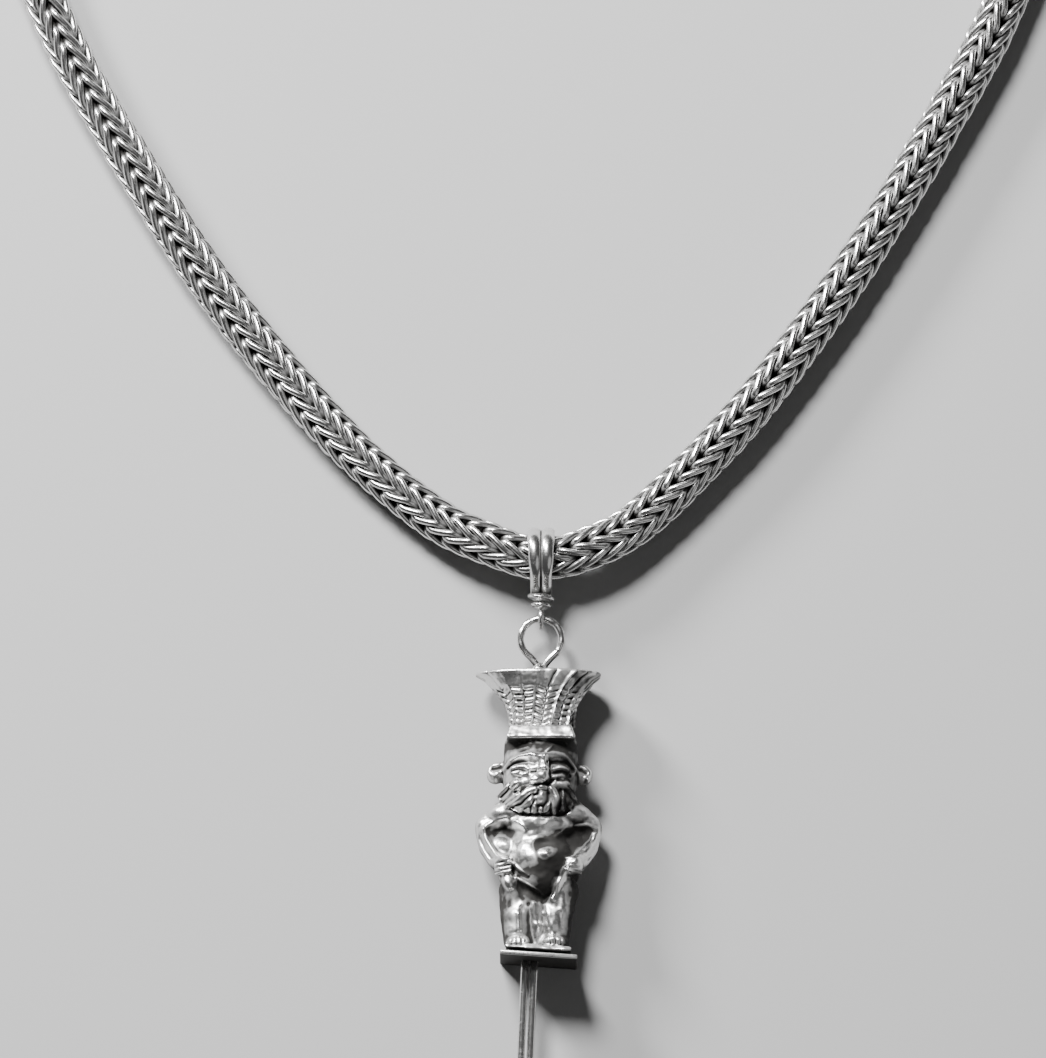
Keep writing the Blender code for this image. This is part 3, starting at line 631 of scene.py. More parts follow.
def strap_shape():
    """The strap: two rounded ribs with a groove between, wrapped round the chain down to the collar."""
    inner = BAIL_REACH - BAIL_THICKNESS
    middle = inner + BAIL_THICKNESS / 2
    way = [(0.0, middle * s, BAIL_REACH + middle * c) for c, s in arc(STRAP_OPENING, 44)]
    inset = BAIL_THICKNESS * 0.62
    front, back = (0, COLLAR_TOP, BAIL_REACH + inset), (0, COLLAR_TOP, BAIL_REACH - inset)
    ahead = [np.add(front, (0, -0.00035, 0)), front, np.add(way[0], np.subtract(front, way[0]) * 0.5)]
    behind = [np.add(way[-1], np.subtract(back, way[-1]) * 0.5), back, np.add(back, (0, -0.00035, 0))]
    way = np.array([*ahead, *way, *behind])
    half_width, half_thick = BAIL_WIDTH / 2, BAIL_THICKNESS / 2
    section = []
    ribs = 18
    for i in range(ribs + 1):
        across = -1 + 2 * i / ribs
        rib = abs(math.sin(math.pi * across)) ** 0.55 if abs(across) > 1e-9 else 0
        section.append((across * half_width, -half_thick * 0.1 + half_thick * 1.1 * rib))
    for i in range(7):
        across = 1 - 2 * i / 6
        section.append((across * half_width * 0.94, -half_thick * (0.75 if i in (0, 6) else 1.0)))
    verts = []
    for i, point in enumerate(way):
        along = unit(way[min(i + 1, len(way) - 1)] - way[max(i - 1, 0)])
        out = np.cross((1.0, 0.0, 0.0), along)
        ends = min(i, len(way) - 1 - i)
        narrow = 0.72 + 0.28 * min(ends / 16, 1) ** 0.8
        wobble = 1 + 0.02 * math.sin(i * 0.9)
        for across, thick in section:
            verts.append(point + np.array((across * narrow * wobble, 0, 0)) + out * thick)
    return np.array(verts), ring_faces(len(way), len(section))


def disc_shape(top, height, radius, tilt):
    """A thin collar disc with a slightly uneven rim and a cone above and below it, tilted a little."""
    rows = ((0.35, 0.0), (0.62, 0.04), (0.84, 0.22), (0.93, 0.29), (0.98, 0.34), (1.0, 0.43), (0.99, 0.55),
            (0.94, 0.62), (0.84, 0.66), (0.62, 0.82), (0.35, 1.0))
    profile = [(radius * out, top - height * down) for out, down in rows]
    verts, faces = turned(profile, 48, (0, 0, BAIL_REACH))
    angle = np.arctan2(verts[:, 2] - BAIL_REACH, verts[:, 0])
    verts[:, 1] -= np.tan(tilt) * verts[:, 0]
    verts[:, 1] += 0.00004 * np.sin(2 * angle + 0.7)
    verts[:, 0] *= 1 + 0.015 * np.sin(2 * angle)
    return verts, faces


class NECKLACE_OT_bail(bpy.types.Operator):
    """Wrap the ribbed bail round the chain, with its collar and eye"""
    bl_idname = "necklace.bail"
    bl_label = "Bail"

    def execute(self, context):
        finish = silver("bail_silver", wear=0.9)
        radius = (RING_WIRE + EYE_WIRE) / 2 + CLEARANCE
        ring = [(0, EYE_Y + radius * s, BAIL_REACH + radius * c) for c, s in circle(40)]
        shapes = [
            strap_shape(),
            disc_shape(COLLAR_TOP, 0.0009, 0.00135, math.radians(8)),
            disc_shape(COLLAR_TOP - 0.0008, 0.0008, 0.0010, math.radians(5)),
            tube(ring, EYE_WIRE / 2, 14, closed=True),
        ]
        piece_from("bail_strap", joined(shapes), finish, "bail", angle=50, reach=0.00005)
        return {"FINISHED"}


class NECKLACE_OT_ring(bpy.types.Operator):
    """Bend the wire ring that joins the bail's eye to the crown"""
    bl_idname = "necklace.ring"
    bl_label = "Crown ring"

    def execute(self, context):
        finish = silver("ring_silver", wear=0.8)
        stem, centre = RING_STEM_SPACING / 2, EYE_Y - RING_RADIUS
        foot = CROWN_TOP - 0.0006
        turn = centre - RING_RADIUS * 1.28
        points = [(stem, foot, BAIL_REACH), (stem, turn, BAIL_REACH)]
        points += [(RING_RADIUS * c, centre + RING_RADIUS * s, BAIL_REACH) for c, s in arc(RING_OPENING, 44)]
        points += [(-stem, turn, BAIL_REACH), (-stem, foot, BAIL_REACH)]
        smooth = curve_points(points, 2)
        radii = RING_WIRE / 2 * (1 + 0.05 * np.sin(np.arange(len(smooth)) * 0.55))
        drop = [(SOLDER_X, CROWN_TOP + up, BAIL_REACH) for up, radius in SOLDER]
        solder = tube(drop, [radius for up, radius in SOLDER], 20)
        shapes = joined([tube(smooth, radii, 16), solder])
        piece_from("crown_ring_wire", shapes, finish, "crown_ring", base=0.05)
        return {"FINISHED"}


class NECKLACE_OT_plate(bpy.types.Operator):
    """Cut the thin plate under the amulet's step"""
    bl_idname = "necklace.plate"
    bl_label = "Base plate"

    def execute(self, context):
        finish = silver("plate_silver", pits=0.5, rough=0.08)
        bm = bmesh.new()
        bm.from_mesh(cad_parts["base_plate"].data)
        bmesh.ops.remove_doubles(bm, verts=bm.verts, dist=1e-7)
        bmesh.ops.dissolve_limit(bm, angle_limit=math.radians(2), verts=bm.verts, edges=bm.edges)
        front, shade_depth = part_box("base_plate")[1].z, 0.0003
        geometry = bm.verts[:] + bm.edges[:] + bm.faces[:]
        bmesh.ops.bisect_plane(bm, geom=geometry, plane_co=(0, 0, front - shade_depth), plane_no=(0, 0, 1))
        mesh = bpy.data.meshes.new("base_plate_sheet")
        bm.to_mesh(mesh)
        bm.free()
        mesh.materials.clear()
        # Painted shade: the plate is dark below its top 0.3 mm, so the underside under the front edge reads
        # dark.
        store_darkening(mesh, [0.9 * min((front - vertex.co.z) / shade_depth, 1) for vertex in mesh.vertices])
        piece = add_piece("base_plate_sheet", mesh, finish, "base_plate", angle=30)
        edge = piece.modifiers.new("edge", "BEVEL")
        edge.width = 0.00006
        edge.segments = 2
        return {"FINISHED"}


class NECKLACE_OT_lower_wires(bpy.types.Operator):
    """Bend the doubled wire that hangs from the plate"""
    bl_idname = "necklace.lower_wires"
    bl_label = "Lower wires"

    def execute(self, context):
        finish = silver("lower_wire_silver", wear=0.8)
        low, high = (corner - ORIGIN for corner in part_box("lower_wire_loop"))
        half, height = LOWER_SPACING / 2, (low.z + high.z) / 2
        straight = LOWER_LENGTH - half - LOWER_WIRE / 2
        top = CLEARANCE + LET_IN
        levels = (top, -straight * 0.35, -straight * 0.7, -straight)
        points = [(-half, level, 0) for level in levels]
        for i in range(1, 10):
            angle = math.pi + math.pi * i / 10
            points.append((half * math.cos(angle), -straight + half * math.sin(angle), 0))
        points += [(half, level, 0) for level in reversed(levels)]
        x, y, z = curve_points(points, 3).T
        placed = np.stack([*rotated(x, y, -LOWER_LEAN), z], axis=1)
        shape = tube(placed, LOWER_WIRE / 2, 16)
        shift = np.array(((low.x + high.x) / 2, (low.y + high.y) / 2, height))
        shift[:2] -= (shape[0].min(axis=0)[:2] + shape[0].max(axis=0)[:2]) / 2
        shift[1] += top / 2
        piece_from("lower_wire_pair", (shape[0] + shift, shape[1]), finish, "lower_wire_loop",
                   base=0.05)
        return {"FINISHED"}


# The amulet.


PLUMES = 10
PLUME_LEAN = math.radians(18)
BARB_PITCH = 2.15


class Clay:
    """Clay forms in percentages of the amulet's height: across, up from the foot and out from the back."""

    def __init__(self):
        self.verts = []
        self.faces = []

    def loft(self, rings):
        """A closed form through rings of the same number of points."""
        start = len(self.verts)
        for ring in rings:
            self.verts += [tuple(point) for point in ring]
        self.faces += [tuple(start + i for i in face) for face in ring_faces(len(rings), len(rings[0]))]

    def ball(self, centre, radii, turn=0.0):
        """A rounded lump; a turn in degrees swings it in the plane of the front."""
        rings = []
        for i in range(1, 14):
            slope = math.pi * i / 14
            wide, out = math.sin(slope), math.cos(slope)
            ring = []
            for c, s in circle(24):
                x, y = rotated(radii[0] * wide * c, radii[1] * wide * s, math.radians(turn))
                ring.append((centre[0] + x, centre[1] + y, centre[2] + radii[2] * out))
            rings.append(ring)
        self.loft(rings)

    def limb(self, joints, sides=14):
        """A tapered limb through the joints: each has its place and its radius."""
        for (*start, first), (*end, last) in zip(joints, joints[1:]):
            a, b = Vector(start), Vector(end)
            along = (b - a).normalized()
            side = along.orthogonal().normalized()
            other = along.cross(side)
            self.loft([[point + (side * c + other * s) * radius for c, s in circle(sides)]
                       for point, radius in ((a, first), (b, last))])
            for joint, radius in ((start, first), (end, last)):
                self.ball(joint, (radius, radius, radius))

    def skin(self, voxel, relax):
        """One closed skin over all the forms, as a mesh."""
        mesh = bpy.data.meshes.new("amulet_clay")
        mesh.from_pydata(self.verts, [], self.faces)
        outward(mesh)
        lump = in_scene("amulet_clay", mesh)
        fuse = lump.modifiers.new("fuse", "REMESH")
        fuse.mode = "VOXEL"
        fuse.voxel_size = voxel
        smoothing = lump.modifiers.new("relax", "SMOOTH")
        smoothing.factor = 0.5
        smoothing.iterations = relax
        skin = bpy.data.meshes.new_from_object(lump.evaluated_get(bpy.context.evaluated_depsgraph_get()))
        bpy.data.objects.remove(lump, do_unlink=True)
        return skin


def face_depth(x, up):
    """How far out the round of the skull and of the jaw lies at this place."""
    rounds = ((0.6, 62.0, 13.4, 15.0, 12.6), (0.4, 53.6, 13.4, 8.0, 12.2))
    return max(14 + out * math.sqrt(max(0.03, 1 - ((x - middle) / half) ** 2 - ((up - level) / tall) ** 2))
               for middle, level, half, tall, out in rounds)


def on_face(lift, *points):
    """Joints of a limb that lies on the face, lifted by a little."""
    return [(x, up, face_depth(x, up) + lift, radius) for x, up, radius in points]


def head(clay):
    """A lion-like head: cap, thick brows, lidded eyes, short nose, ears, moustache, tongue and beard."""
    clay.ball((0.6, 62, 14), (13.4, 15, 12.6))
    clay.loft([[(0.8 + half * c, up, 14 + deep * s) for c, s in circle(40)]
               for up, half, deep in ((75.4, 12.8, 10.2), (71.2, 13.2, 11.2), (66.0, 12.9, 12.0))])
    clay.ball((0.4, 53.6, 14), (13.4, 8, 12.2))
    # brows and the nose with its wings
    clay.limb(on_face(0.5, (-12.4, 64.9, 0.8), (-9.6, 67.4, 1.0), (-6.4, 68.7, 1.1), (-2.6, 69.0, 1.2),
                      (1.6, 68.2, 1.1)))
    clay.limb(on_face(0.5, (2.8, 68.4, 1.0), (5.4, 69.2, 1.1), (8.6, 69.0, 1.0), (11.2, 67.2, 0.9),
                      (13.0, 64.6, 0.8)))
    clay.limb(((2.1, 68.6, 26.0, 1.4), (1.9, 64.4, 27.4, 1.9), (1.2, 61.0, 28.4, 2.3)))
    clay.ball((0.2, 60.3, 27.6), (4.0, 1.5, 2.6), turn=8)
    # eyes and cheeks
    for side, middle in ((-1, -6.9), (1, 8.0)):
        clay.ball((middle, 64.0, face_depth(middle, 64.0) - 0.9), (3.6, 2.2, 2.0), turn=side * -4)
        clay.ball((middle * 1.08, 58.9, face_depth(middle, 58.9) - 0.6), (3.2, 1.9, 1.9), turn=side * -24)
    # ears: a flat lobe on each side
    clay.ball((-14.6, 64.5, 12.8), (3.6, 4.2, 3.0), turn=-24)
    clay.ball((15.4, 63.8, 12.8), (3.6, 4.0, 3.0), turn=22)
    clay.ball((17.2, 61.8, 14.2), (1.5, 1.5, 1.8))
    # the moustache's two sweeps, the lip and the tongue
    clay.limb(on_face(0.9, (1.0, 57.3, 1.0), (-2.8, 56.6, 1.5), (-5.8, 54.4, 1.4), (-8.4, 52.4, 1.1),
                      (-11.0, 51.4, 0.7)))
    clay.limb(on_face(0.7, (-1.9, 54.0, 0.9), (-3.4, 51.9, 1.3), (-5.8, 50.6, 1.1), (-8.8, 50.3, 0.7)))
    clay.limb(on_face(0.9, (2.4, 57.4, 1.0), (5.2, 56.2, 1.3), (6.5, 53.4, 1.2), (5.8, 51.0, 0.9)))
    clay.limb(on_face(0.2, (1.3, 55.6, 1.3), (1.0, 53.4, 1.5), (0.9, 51.9, 1.3)))
    # whiskers from the cheeks and the beard's locks
    locks = (((-9.0, 56.6, 1.0), (-13.6, 53.8, 0.7)), ((-7.6, 55.0, 1.0), (-12.2, 52.4, 0.7)),
             ((-10.9, 58.4, 1.0), (-14.4, 55.6, 0.7)), ((10.0, 57.0, 1.0), (13.4, 54.2, 0.7)),
             ((8.8, 55.4, 1.1), (11.8, 52.2, 0.8)), ((8.4, 53.6, 1.0), (8.7, 49.9, 0.8)),
             ((10.4, 53.0, 1.0), (10.9, 50.4, 0.7)), ((5.4, 50.6, 0.9), (5.4, 49.0, 1.0)),
             ((3.4, 51.2, 0.7), (2.4, 49.5, 1.2)), ((1.2, 50.2, 1.0), (0.8, 49.4, 1.1)),
             ((-1.4, 50.4, 1.0), (-1.6, 49.3, 1.1)), ((-3.6, 50.2, 1.0), (-4.0, 49.3, 1.0)),
             ((-6.2, 49.9, 0.8), (-6.8, 49.5, 0.8)))
    for lock in locks:
        clay.limb(on_face(0.6, *lock))


def body(clay):
    """Broad shoulders, arms bent to the hips, a round belly, and legs that stand close together."""
    clay.ball((-9.0, 50.0, 11.4), (10.2, 5.0, 9.2), turn=6)
    clay.ball((9.0, 50.0, 11.4), (10.2, 5.0, 9.2), turn=-6)
    clay.ball((0.6, 45.6, 12.4), (12.8, 6.2, 12.2))
    clay.ball((0, 40, 10), (13.0, 13, 13.4))
    clay.ball((0, 38, 8), (19.0, 11.5, 9.8))
    clay.ball((0.8, 32.6, 15.0), (12.0, 11.6, 12.0))
    clay.ball((0.6, 27.0, 14.4), (9.6, 8.4, 11.6))
    clay.ball((0, 22.5, 10), (13.8, 9.0, 11.4))
    for side in (-1, 1):
        arm = ((10.5, 51.0, 11.5, 5.4), (17.6, 45.0, 11.6, 4.9), (17.0, 38.4, 12.6, 4.2),
               (14.8, 33.8, 15.6, 3.7), (12.8, 31.2, 19.6, 3.0))
        clay.limb([(side * x, *rest) for x, *rest in arm])
        clay.ball((side * 10.4, 36.2, 13.6), (7.6, 9.4, 5.6))
        clay.ball((side * 12.4, 30.4, 20.4), (3.4, 3.8, 3.0), turn=side * -20)
        thick = 0.75 if side < 0 else 0.6
        for finger in range(4):
            up = 32.8 - finger * 1.5
            clay.limb(((side * 15.0, up - 0.9, 20.4, thick), (side * 11.6, up + 0.1, 22.9, thick),
                       (side * 9.9, up - 0.2, 23.6, thick * 0.8)))
    clay.limb(((-7.8, 22.0, 14.0, 6.4), (-8.0, 13.2, 16.2, 5.5), (-7.6, 4.6, 16.2, 5.0)))
    clay.limb(((7.2, 22.0, 14.0, 7.0), (6.2, 13.2, 16.4, 5.8), (5.8, 4.6, 16.2, 5.2)))
    clay.limb(((-2.6, 20.0, 17.4, 4.6), (-1.6, 4.0, 16.6, 3.6)))
    clay.ball((-10.0, 25.2, 18.6), (3.6, 4.4, 3.8))
    clay.ball((-7.2, 3.2, 18.4), (4.9, 2.9, 6.8))
    clay.ball((5.6, 3.2, 18.4), (5.1, 2.9, 6.8))
    clay.ball((-0.8, 10, 9.5), (9.5, 10.0, 9.5))
    clay.ball((-0.4, 14.5, 8.4), (12.0, 14.5, 9.0))
    clay.ball((0, 30, 8), (14.6, 10.0, 9.6))


# The crown's height, middle, half width and half depth, from the slab up.
CROWN_PROFILE = np.array((
    (79.2, 0.9, 10.7, 11.2), (84.4, 0.8, 11.0, 11.4), (89.4, 0.6, 12.4, 11.9), (93.2, 0.3, 15.2, 12.5),
    (97.1, 0.1, 18.9, 13.1), (99.0, 0.0, 21.8, 13.4), (100.0, 0.0, 22.2, 13.4),
))
CROWN_MIDDLE = 12.6


def crown_at(up):
    """The crown's middle, half width and half depth at a height."""
    return [np.interp(up, CROWN_PROFILE[:, 0], CROWN_PROFILE[:, column]) for column in (1, 2, 3)]


def slab_and_step(clay):
    """The block under the plumes and the step under the feet."""
    levels = ((74.9, 11.9, 26.4), (75.4, 12.2, 26.9), (79.5, 10.9, 25.3), (80.0, 10.5, 24.7))
    clay.loft([[(0.8 + side * half, up, out) for side, out in ((-1, -3), (1, -3), (1, front), (-1, front))]
               for up, half, front in levels])
    fall = math.tan(math.radians(4))
    corners = ((-11.5, -3), (11.5, -3), (11.5, 25.3), (-11.5, 25.3))
    clay.loft([[(x, up - fall * x, out) for x, out in corners] for up in (0.1, 1.9)])


def plumes(angle, up):
    """How far the crown swells at an angle and height: leaning plumes, each with a midrib and barbs."""
    place = (angle + PLUME_LEAN * (100 - up) / 20) / (math.tau / PLUMES)
    share = np.abs(place - np.round(place)) * 2
    worn = ramp(0.25 - angle, 0.3) * ramp(angle + 2.0, 0.4)
    plain = ramp(up - 91, 4) * worn
    plume = 0.30 - 1.1 * ramp(share - 0.80, 0.20) ** 1.5 * (1 - 0.8 * plain)
    right = ramp(angle, 0.2) * ramp(2.2 - angle, 0.4)
    rib = (0.10 + 1.0 * right) * np.exp(-(share / 0.13) ** 2)
    slant = 0.45 + 0.25 * np.sin(3 * place)
    wave = up / BARB_PITCH + share * slant + 0.5 * (place > np.round(place))
    groove = np.exp(-((wave - np.round(wave)) / 0.21) ** 2)
    strength = ramp(94.5 - up, 2.0) * (1 - 0.40 * right)
    barbs = -0.95 * groove * ramp(share - 0.06, 0.08) * strength
    return plume + rib + barbs


def crown_shape():
    """The flaring crown as a fine grid, closer in front, with its rounded rim and hollowed top."""
    columns, rows = 264, 88
    turn = math.tau * np.arange(columns) / columns
    angle = turn - 0.5 * np.sin(turn)
    angle = np.where(angle > math.pi, angle - math.tau, angle)
    levels = [(up, 0.0) for up in np.linspace(79.4, 99.5, rows)]
    levels += [(99.8, 0.15), (100.0, 0.5), (99.95, 1.1), (99.4, 2.2), (98.8, 6.0), (98.8, 10.0),
               (99.0, 13.2)]
    points = []
    for up, inset in levels:
        middle, half, deep = crown_at(min(up, 99.5) if inset == 0 else 100)
        swell = plumes(angle, up) * ramp(up - 80.0, 0.8) if inset < 1 else 0.0
        swell = swell * ramp(100.3 - up, 1.2) - inset
        x = middle + (half + swell) * np.sin(angle)
        out = CROWN_MIDDLE + (deep + swell) * np.cos(angle)
        points.append(np.stack([x, np.full(columns, up), out], axis=1))
    return np.vstack(points), ring_faces(len(levels), columns)


# Lines chased and ridges raised on the amulet's front: width, height, and the points across and up.
STROKES = (
    # the brows and the shade under them
    (0.85, 0.95, ((-14.6, 64.2), (-10.2, 67.0), (-6.6, 68.8), (-2.6, 69.2), (1.6, 68.2))),
    (0.85, 0.95, ((2.6, 68.8), (5.2, 69.5), (8.4, 69.4), (10.8, 68.0), (13.2, 64.8))),
    (0.70, -1.0, ((-10.6, 65.2), (-8.4, 66.5), (-5.2, 67.0), (-1.4, 66.2))),
    (0.85, -1.5, ((2.9, 66.2), (6.4, 66.5), (9.4, 66.2), (12.0, 64.4))),
    (0.50, 0.60, ((-1.4, 68.4), (0.2, 67.2))),
    # the eyelids, the slits of the eyes and the fold under them
    (0.60, 0.60, ((-10.0, 63.9), (-7.6, 65.6), (-5.0, 65.2), (-3.6, 63.8))),
    (0.60, 0.80, ((4.9, 63.7), (7.4, 64.7), (10.2, 64.2), (11.6, 62.8))),
    (0.42, -0.80, ((-9.4, 63.4), (-7.0, 64.0), (-4.6, 63.2))),
    (0.55, -1.10, ((5.4, 62.7), (8.2, 63.1), (11.0, 62.2))),
    (0.50, 0.60, ((-9.2, 62.3), (-6.6, 61.9), (-4.2, 62.5))),
    (0.50, 0.80, ((5.0, 61.2), (7.8, 61.7), (10.6, 61.0))),
    (0.42, -0.70, ((-6.8, 61.1), (-4.4, 61.0))), (0.45, -0.90, ((6.6, 60.2), (8.6, 59.9), (10.6, 60.6))),
    # the nose: its crest, the crease across it, its sides and the line under it
    (0.55, 0.70, ((2.2, 68.4), (2.3, 65.6), (2.4, 63.6))),
    (0.50, -1.30, ((-2.5, 62.9), (0.0, 63.2), (2.6, 63.2))),
    (0.60, -0.80, ((4.0, 65.4), (4.2, 62.6), (4.4, 60.0))),
    (0.55, -1.25, ((-6.2, 55.8), (-5.0, 57.2), (-2.4, 58.1), (0.2, 58.6), (3.4, 58.8), (5.2, 60.2))),
    # between the moustache, the lip, the tongue and the locks of the left side
    (0.42, -1.15, ((-6.2, 55.8), (-7.4, 54.3), (-9.2, 53.2), (-11.4, 52.3))),
    (0.45, -1.25, ((-0.2, 55.0), (-2.8, 54.7), (-4.8, 53.0), (-6.0, 51.6), (-8.2, 51.3), (-9.6, 50.8))),
    (0.42, -1.20, ((-1.5, 54.5), (-1.8, 52.4), (-2.8, 50.8), (-4.6, 50.1))),
    (0.40, -0.90, ((-0.1, 58.2), (-0.2, 55.4))), (0.45, 0.60, ((0.6, 57.6), (2.4, 57.6))),
    (0.42, -0.80, ((-0.2, 56.2), (2.6, 56.2))),
    (0.50, -1.30, ((3.0, 58.2), (3.5, 55.4), (3.1, 52.6), (1.6, 50.8), (-0.4, 50.9))),
    (0.40, -1.00, ((-9.6, 59.2), (-11.0, 57.0), (-13.2, 55.1))),
    (0.38, -1.00, ((-8.2, 55.6), (-12.4, 53.2))),
    (0.38, -0.80, ((-6.8, 58.6), (-8.6, 57.2), (-8.0, 55.6))),
    # the locks of the right side
    (0.42, -1.00, ((7.6, 56.6), (7.9, 53.2), (7.1, 50.2))), (0.42, -0.90, ((9.6, 54.6), (9.8, 50.4))),
    (0.42, -0.90, ((10.6, 58.0), (12.8, 55.2))), (0.42, -0.90, ((9.2, 56.4), (12.0, 53.0))),
    # between the short locks of the beard's lower row
    *((0.34, -1.10, way) for way in (((-5.2, 50.0), (-5.6, 48.6)), ((-2.7, 50.6), (-2.9, 48.2)),
                                     ((-0.3, 50.4), (-0.4, 47.9)), ((1.7, 50.2), (1.6, 48.0)))),
    (0.36, -1.30, ((4.3, 51.4), (4.3, 48.0))), (0.36, -1.20, ((6.6, 50.8), (6.7, 48.4))),
    (0.55, -1.10, ((-10.4, 51.5), (-7.4, 49.4), (-3.0, 48.3), (2.2, 47.8), (7.2, 48.2), (10.8, 50.0))),
    # the hollow of each ear and the lobe in it
    (0.90, -1.70, ((-16.0, 65.6), (-13.4, 66.0))), (0.90, 0.80, ((-15.4, 62.8), (-13.6, 63.0))),
    (0.80, -1.40, ((15.0, 65.2), (16.4, 64.2))), (0.80, 0.80, ((17.2, 61.8), (17.3, 62.0))),
    # the marks on the cap's band
    (0.45, 0.80, ((2.7, 70.4), (4.9, 72.5))), (0.45, 0.60, ((-6.6, 71.3), (-3.8, 71.8))),
    # the shelf of the shoulders and the front edge of the arms
    (0.75, 0.90, ((-20.0, 43.8), (-18.0, 45.6), (-15.0, 46.9), (-11.4, 47.4), (-7.0, 45.4), (-4.6, 42.8))),
    (0.75, 0.90, ((21.6, 43.8), (17.4, 45.4), (13.2, 45.2), (9.4, 43.4), (6.4, 40.6))),
    (0.75, 1.50, ((-19.4, 44.0), (-18.5, 40.4), (-16.4, 36.9), (-14.6, 34.0), (-12.2, 32.2), (-9.6, 31.3))),
    (1.70, 1.50, ((19.4, 41.0), (18.0, 37.8), (15.0, 34.2), (12.2, 31.0), (10.2, 28.8))),
    (0.60, -0.80, ((-20.6, 41.0), (-18.6, 36.6), (-16.6, 33.4))),
    (0.60, -0.80, ((21.0, 39.4), (19.0, 35.4), (16.6, 32.2))),
    # between the fingers, and the wrists
    *((0.34, -0.90, ((-15.8, up), (-10.2, up + 0.8))) for up in (31.0, 29.4, 27.9)),
    *((0.34, -0.40, ((15.6, up), (11.0, up + 0.7))) for up in (29.6, 28.1)),
    (0.50, -0.80, ((-9.2, 32.6), (-8.8, 27.4))),
    # the folds that run in a V under the belly
    (0.46, 1.00, ((-9.6, 31.2), (-6.6, 28.4), (-3.7, 26.3))),
    (0.55, -0.50, ((-8.8, 29.6), (-6.0, 27.0), (-3.6, 25.6))),
    (0.42, 0.85, ((-7.8, 25.9), (-3.4, 23.0), (0.2, 20.7), (1.4, 19.8))),
    (1.30, -0.45, ((-8.0, 23.8), (-4.0, 21.0), (0.4, 18.4))),
    (0.95, 1.20, ((9.9, 28.6), (7.2, 23.4), (4.6, 18.4))),
    (0.75, -0.60, ((7.0, 26.6), (4.8, 22.4), (2.6, 18.8))),
    # the groove between the legs, soft folds and knees
    (0.90, -0.80, ((-3.6, 16.4), (-3.4, 10.0), (-2.6, 3.6))), (0.90, 0.50, ((-1.6, 17.0), (-1.8, 13.2))),
    (0.70, -0.35, ((-6.0, 15.6), (-5.8, 9.0))), (0.80, 0.75, ((-7.2, 13.4), (-6.9, 7.6))),
    (1.20, 0.60, ((2.0, 16.4), (4.4, 9.0), (4.4, 4.8))), (0.80, -0.40, ((7.6, 13.6), (8.0, 8.0))),
    (0.60, 0.45, ((0.4, 17.6), (1.4, 13.0))),
    *((0.32, -0.60, ((x, top), (x, 2.2))) for x, top in ((-9.4, 4.4), (-7.6, 4.6), (-5.8, 4.6))),
    (0.32, -0.80, ((4.2, 5.6), (4.2, 2.2))), (0.32, -0.80, ((6.0, 5.6), (6.0, 2.0))),
    (0.32, -0.80, ((7.8, 5.2), (7.8, 1.8))),
    (0.45, -0.70, ((-11.6, 1.9), (0.0, 1.5), (11.4, 0.9))),
)
# Round dents and bosses: centre across and up, radii, and height.
DENTS = (
    ((1.4, 37.6), (3.4, 2.6), -2.6), ((2.8, 34.0), (2.4, 2.2), 2.1), ((0.8, 41.6), (6.0, 2.6), 0.8),
    ((-12.0, 42.9), (5.4, 2.5), -2.5), ((16.2, 41.8), (4.2, 3.2), -2.8), ((11.0, 41.2), (3.4, 2.8), -1.4),
    ((-8.4, 57.2), (1.9, 1.5), -0.9), ((-1.2, 60.6), (1.1, 0.8), -0.5), ((0.6, 52.8), (1.4, 1.0), -0.7),
    ((0.2, 9.2), (1.7, 1.4), 0.9), ((2.4, 6.8), (1.5, 1.1), -0.6), ((-3.6, 14.8), (1.2, 1.9), 0.5),
    ((-10.6, 23.6), (2.2, 2.4), 0.9), ((9.8, 20.6), (2.6, 3.0), -0.8), ((-9.0, 17.6), (3.0, 2.6), -0.6),
)
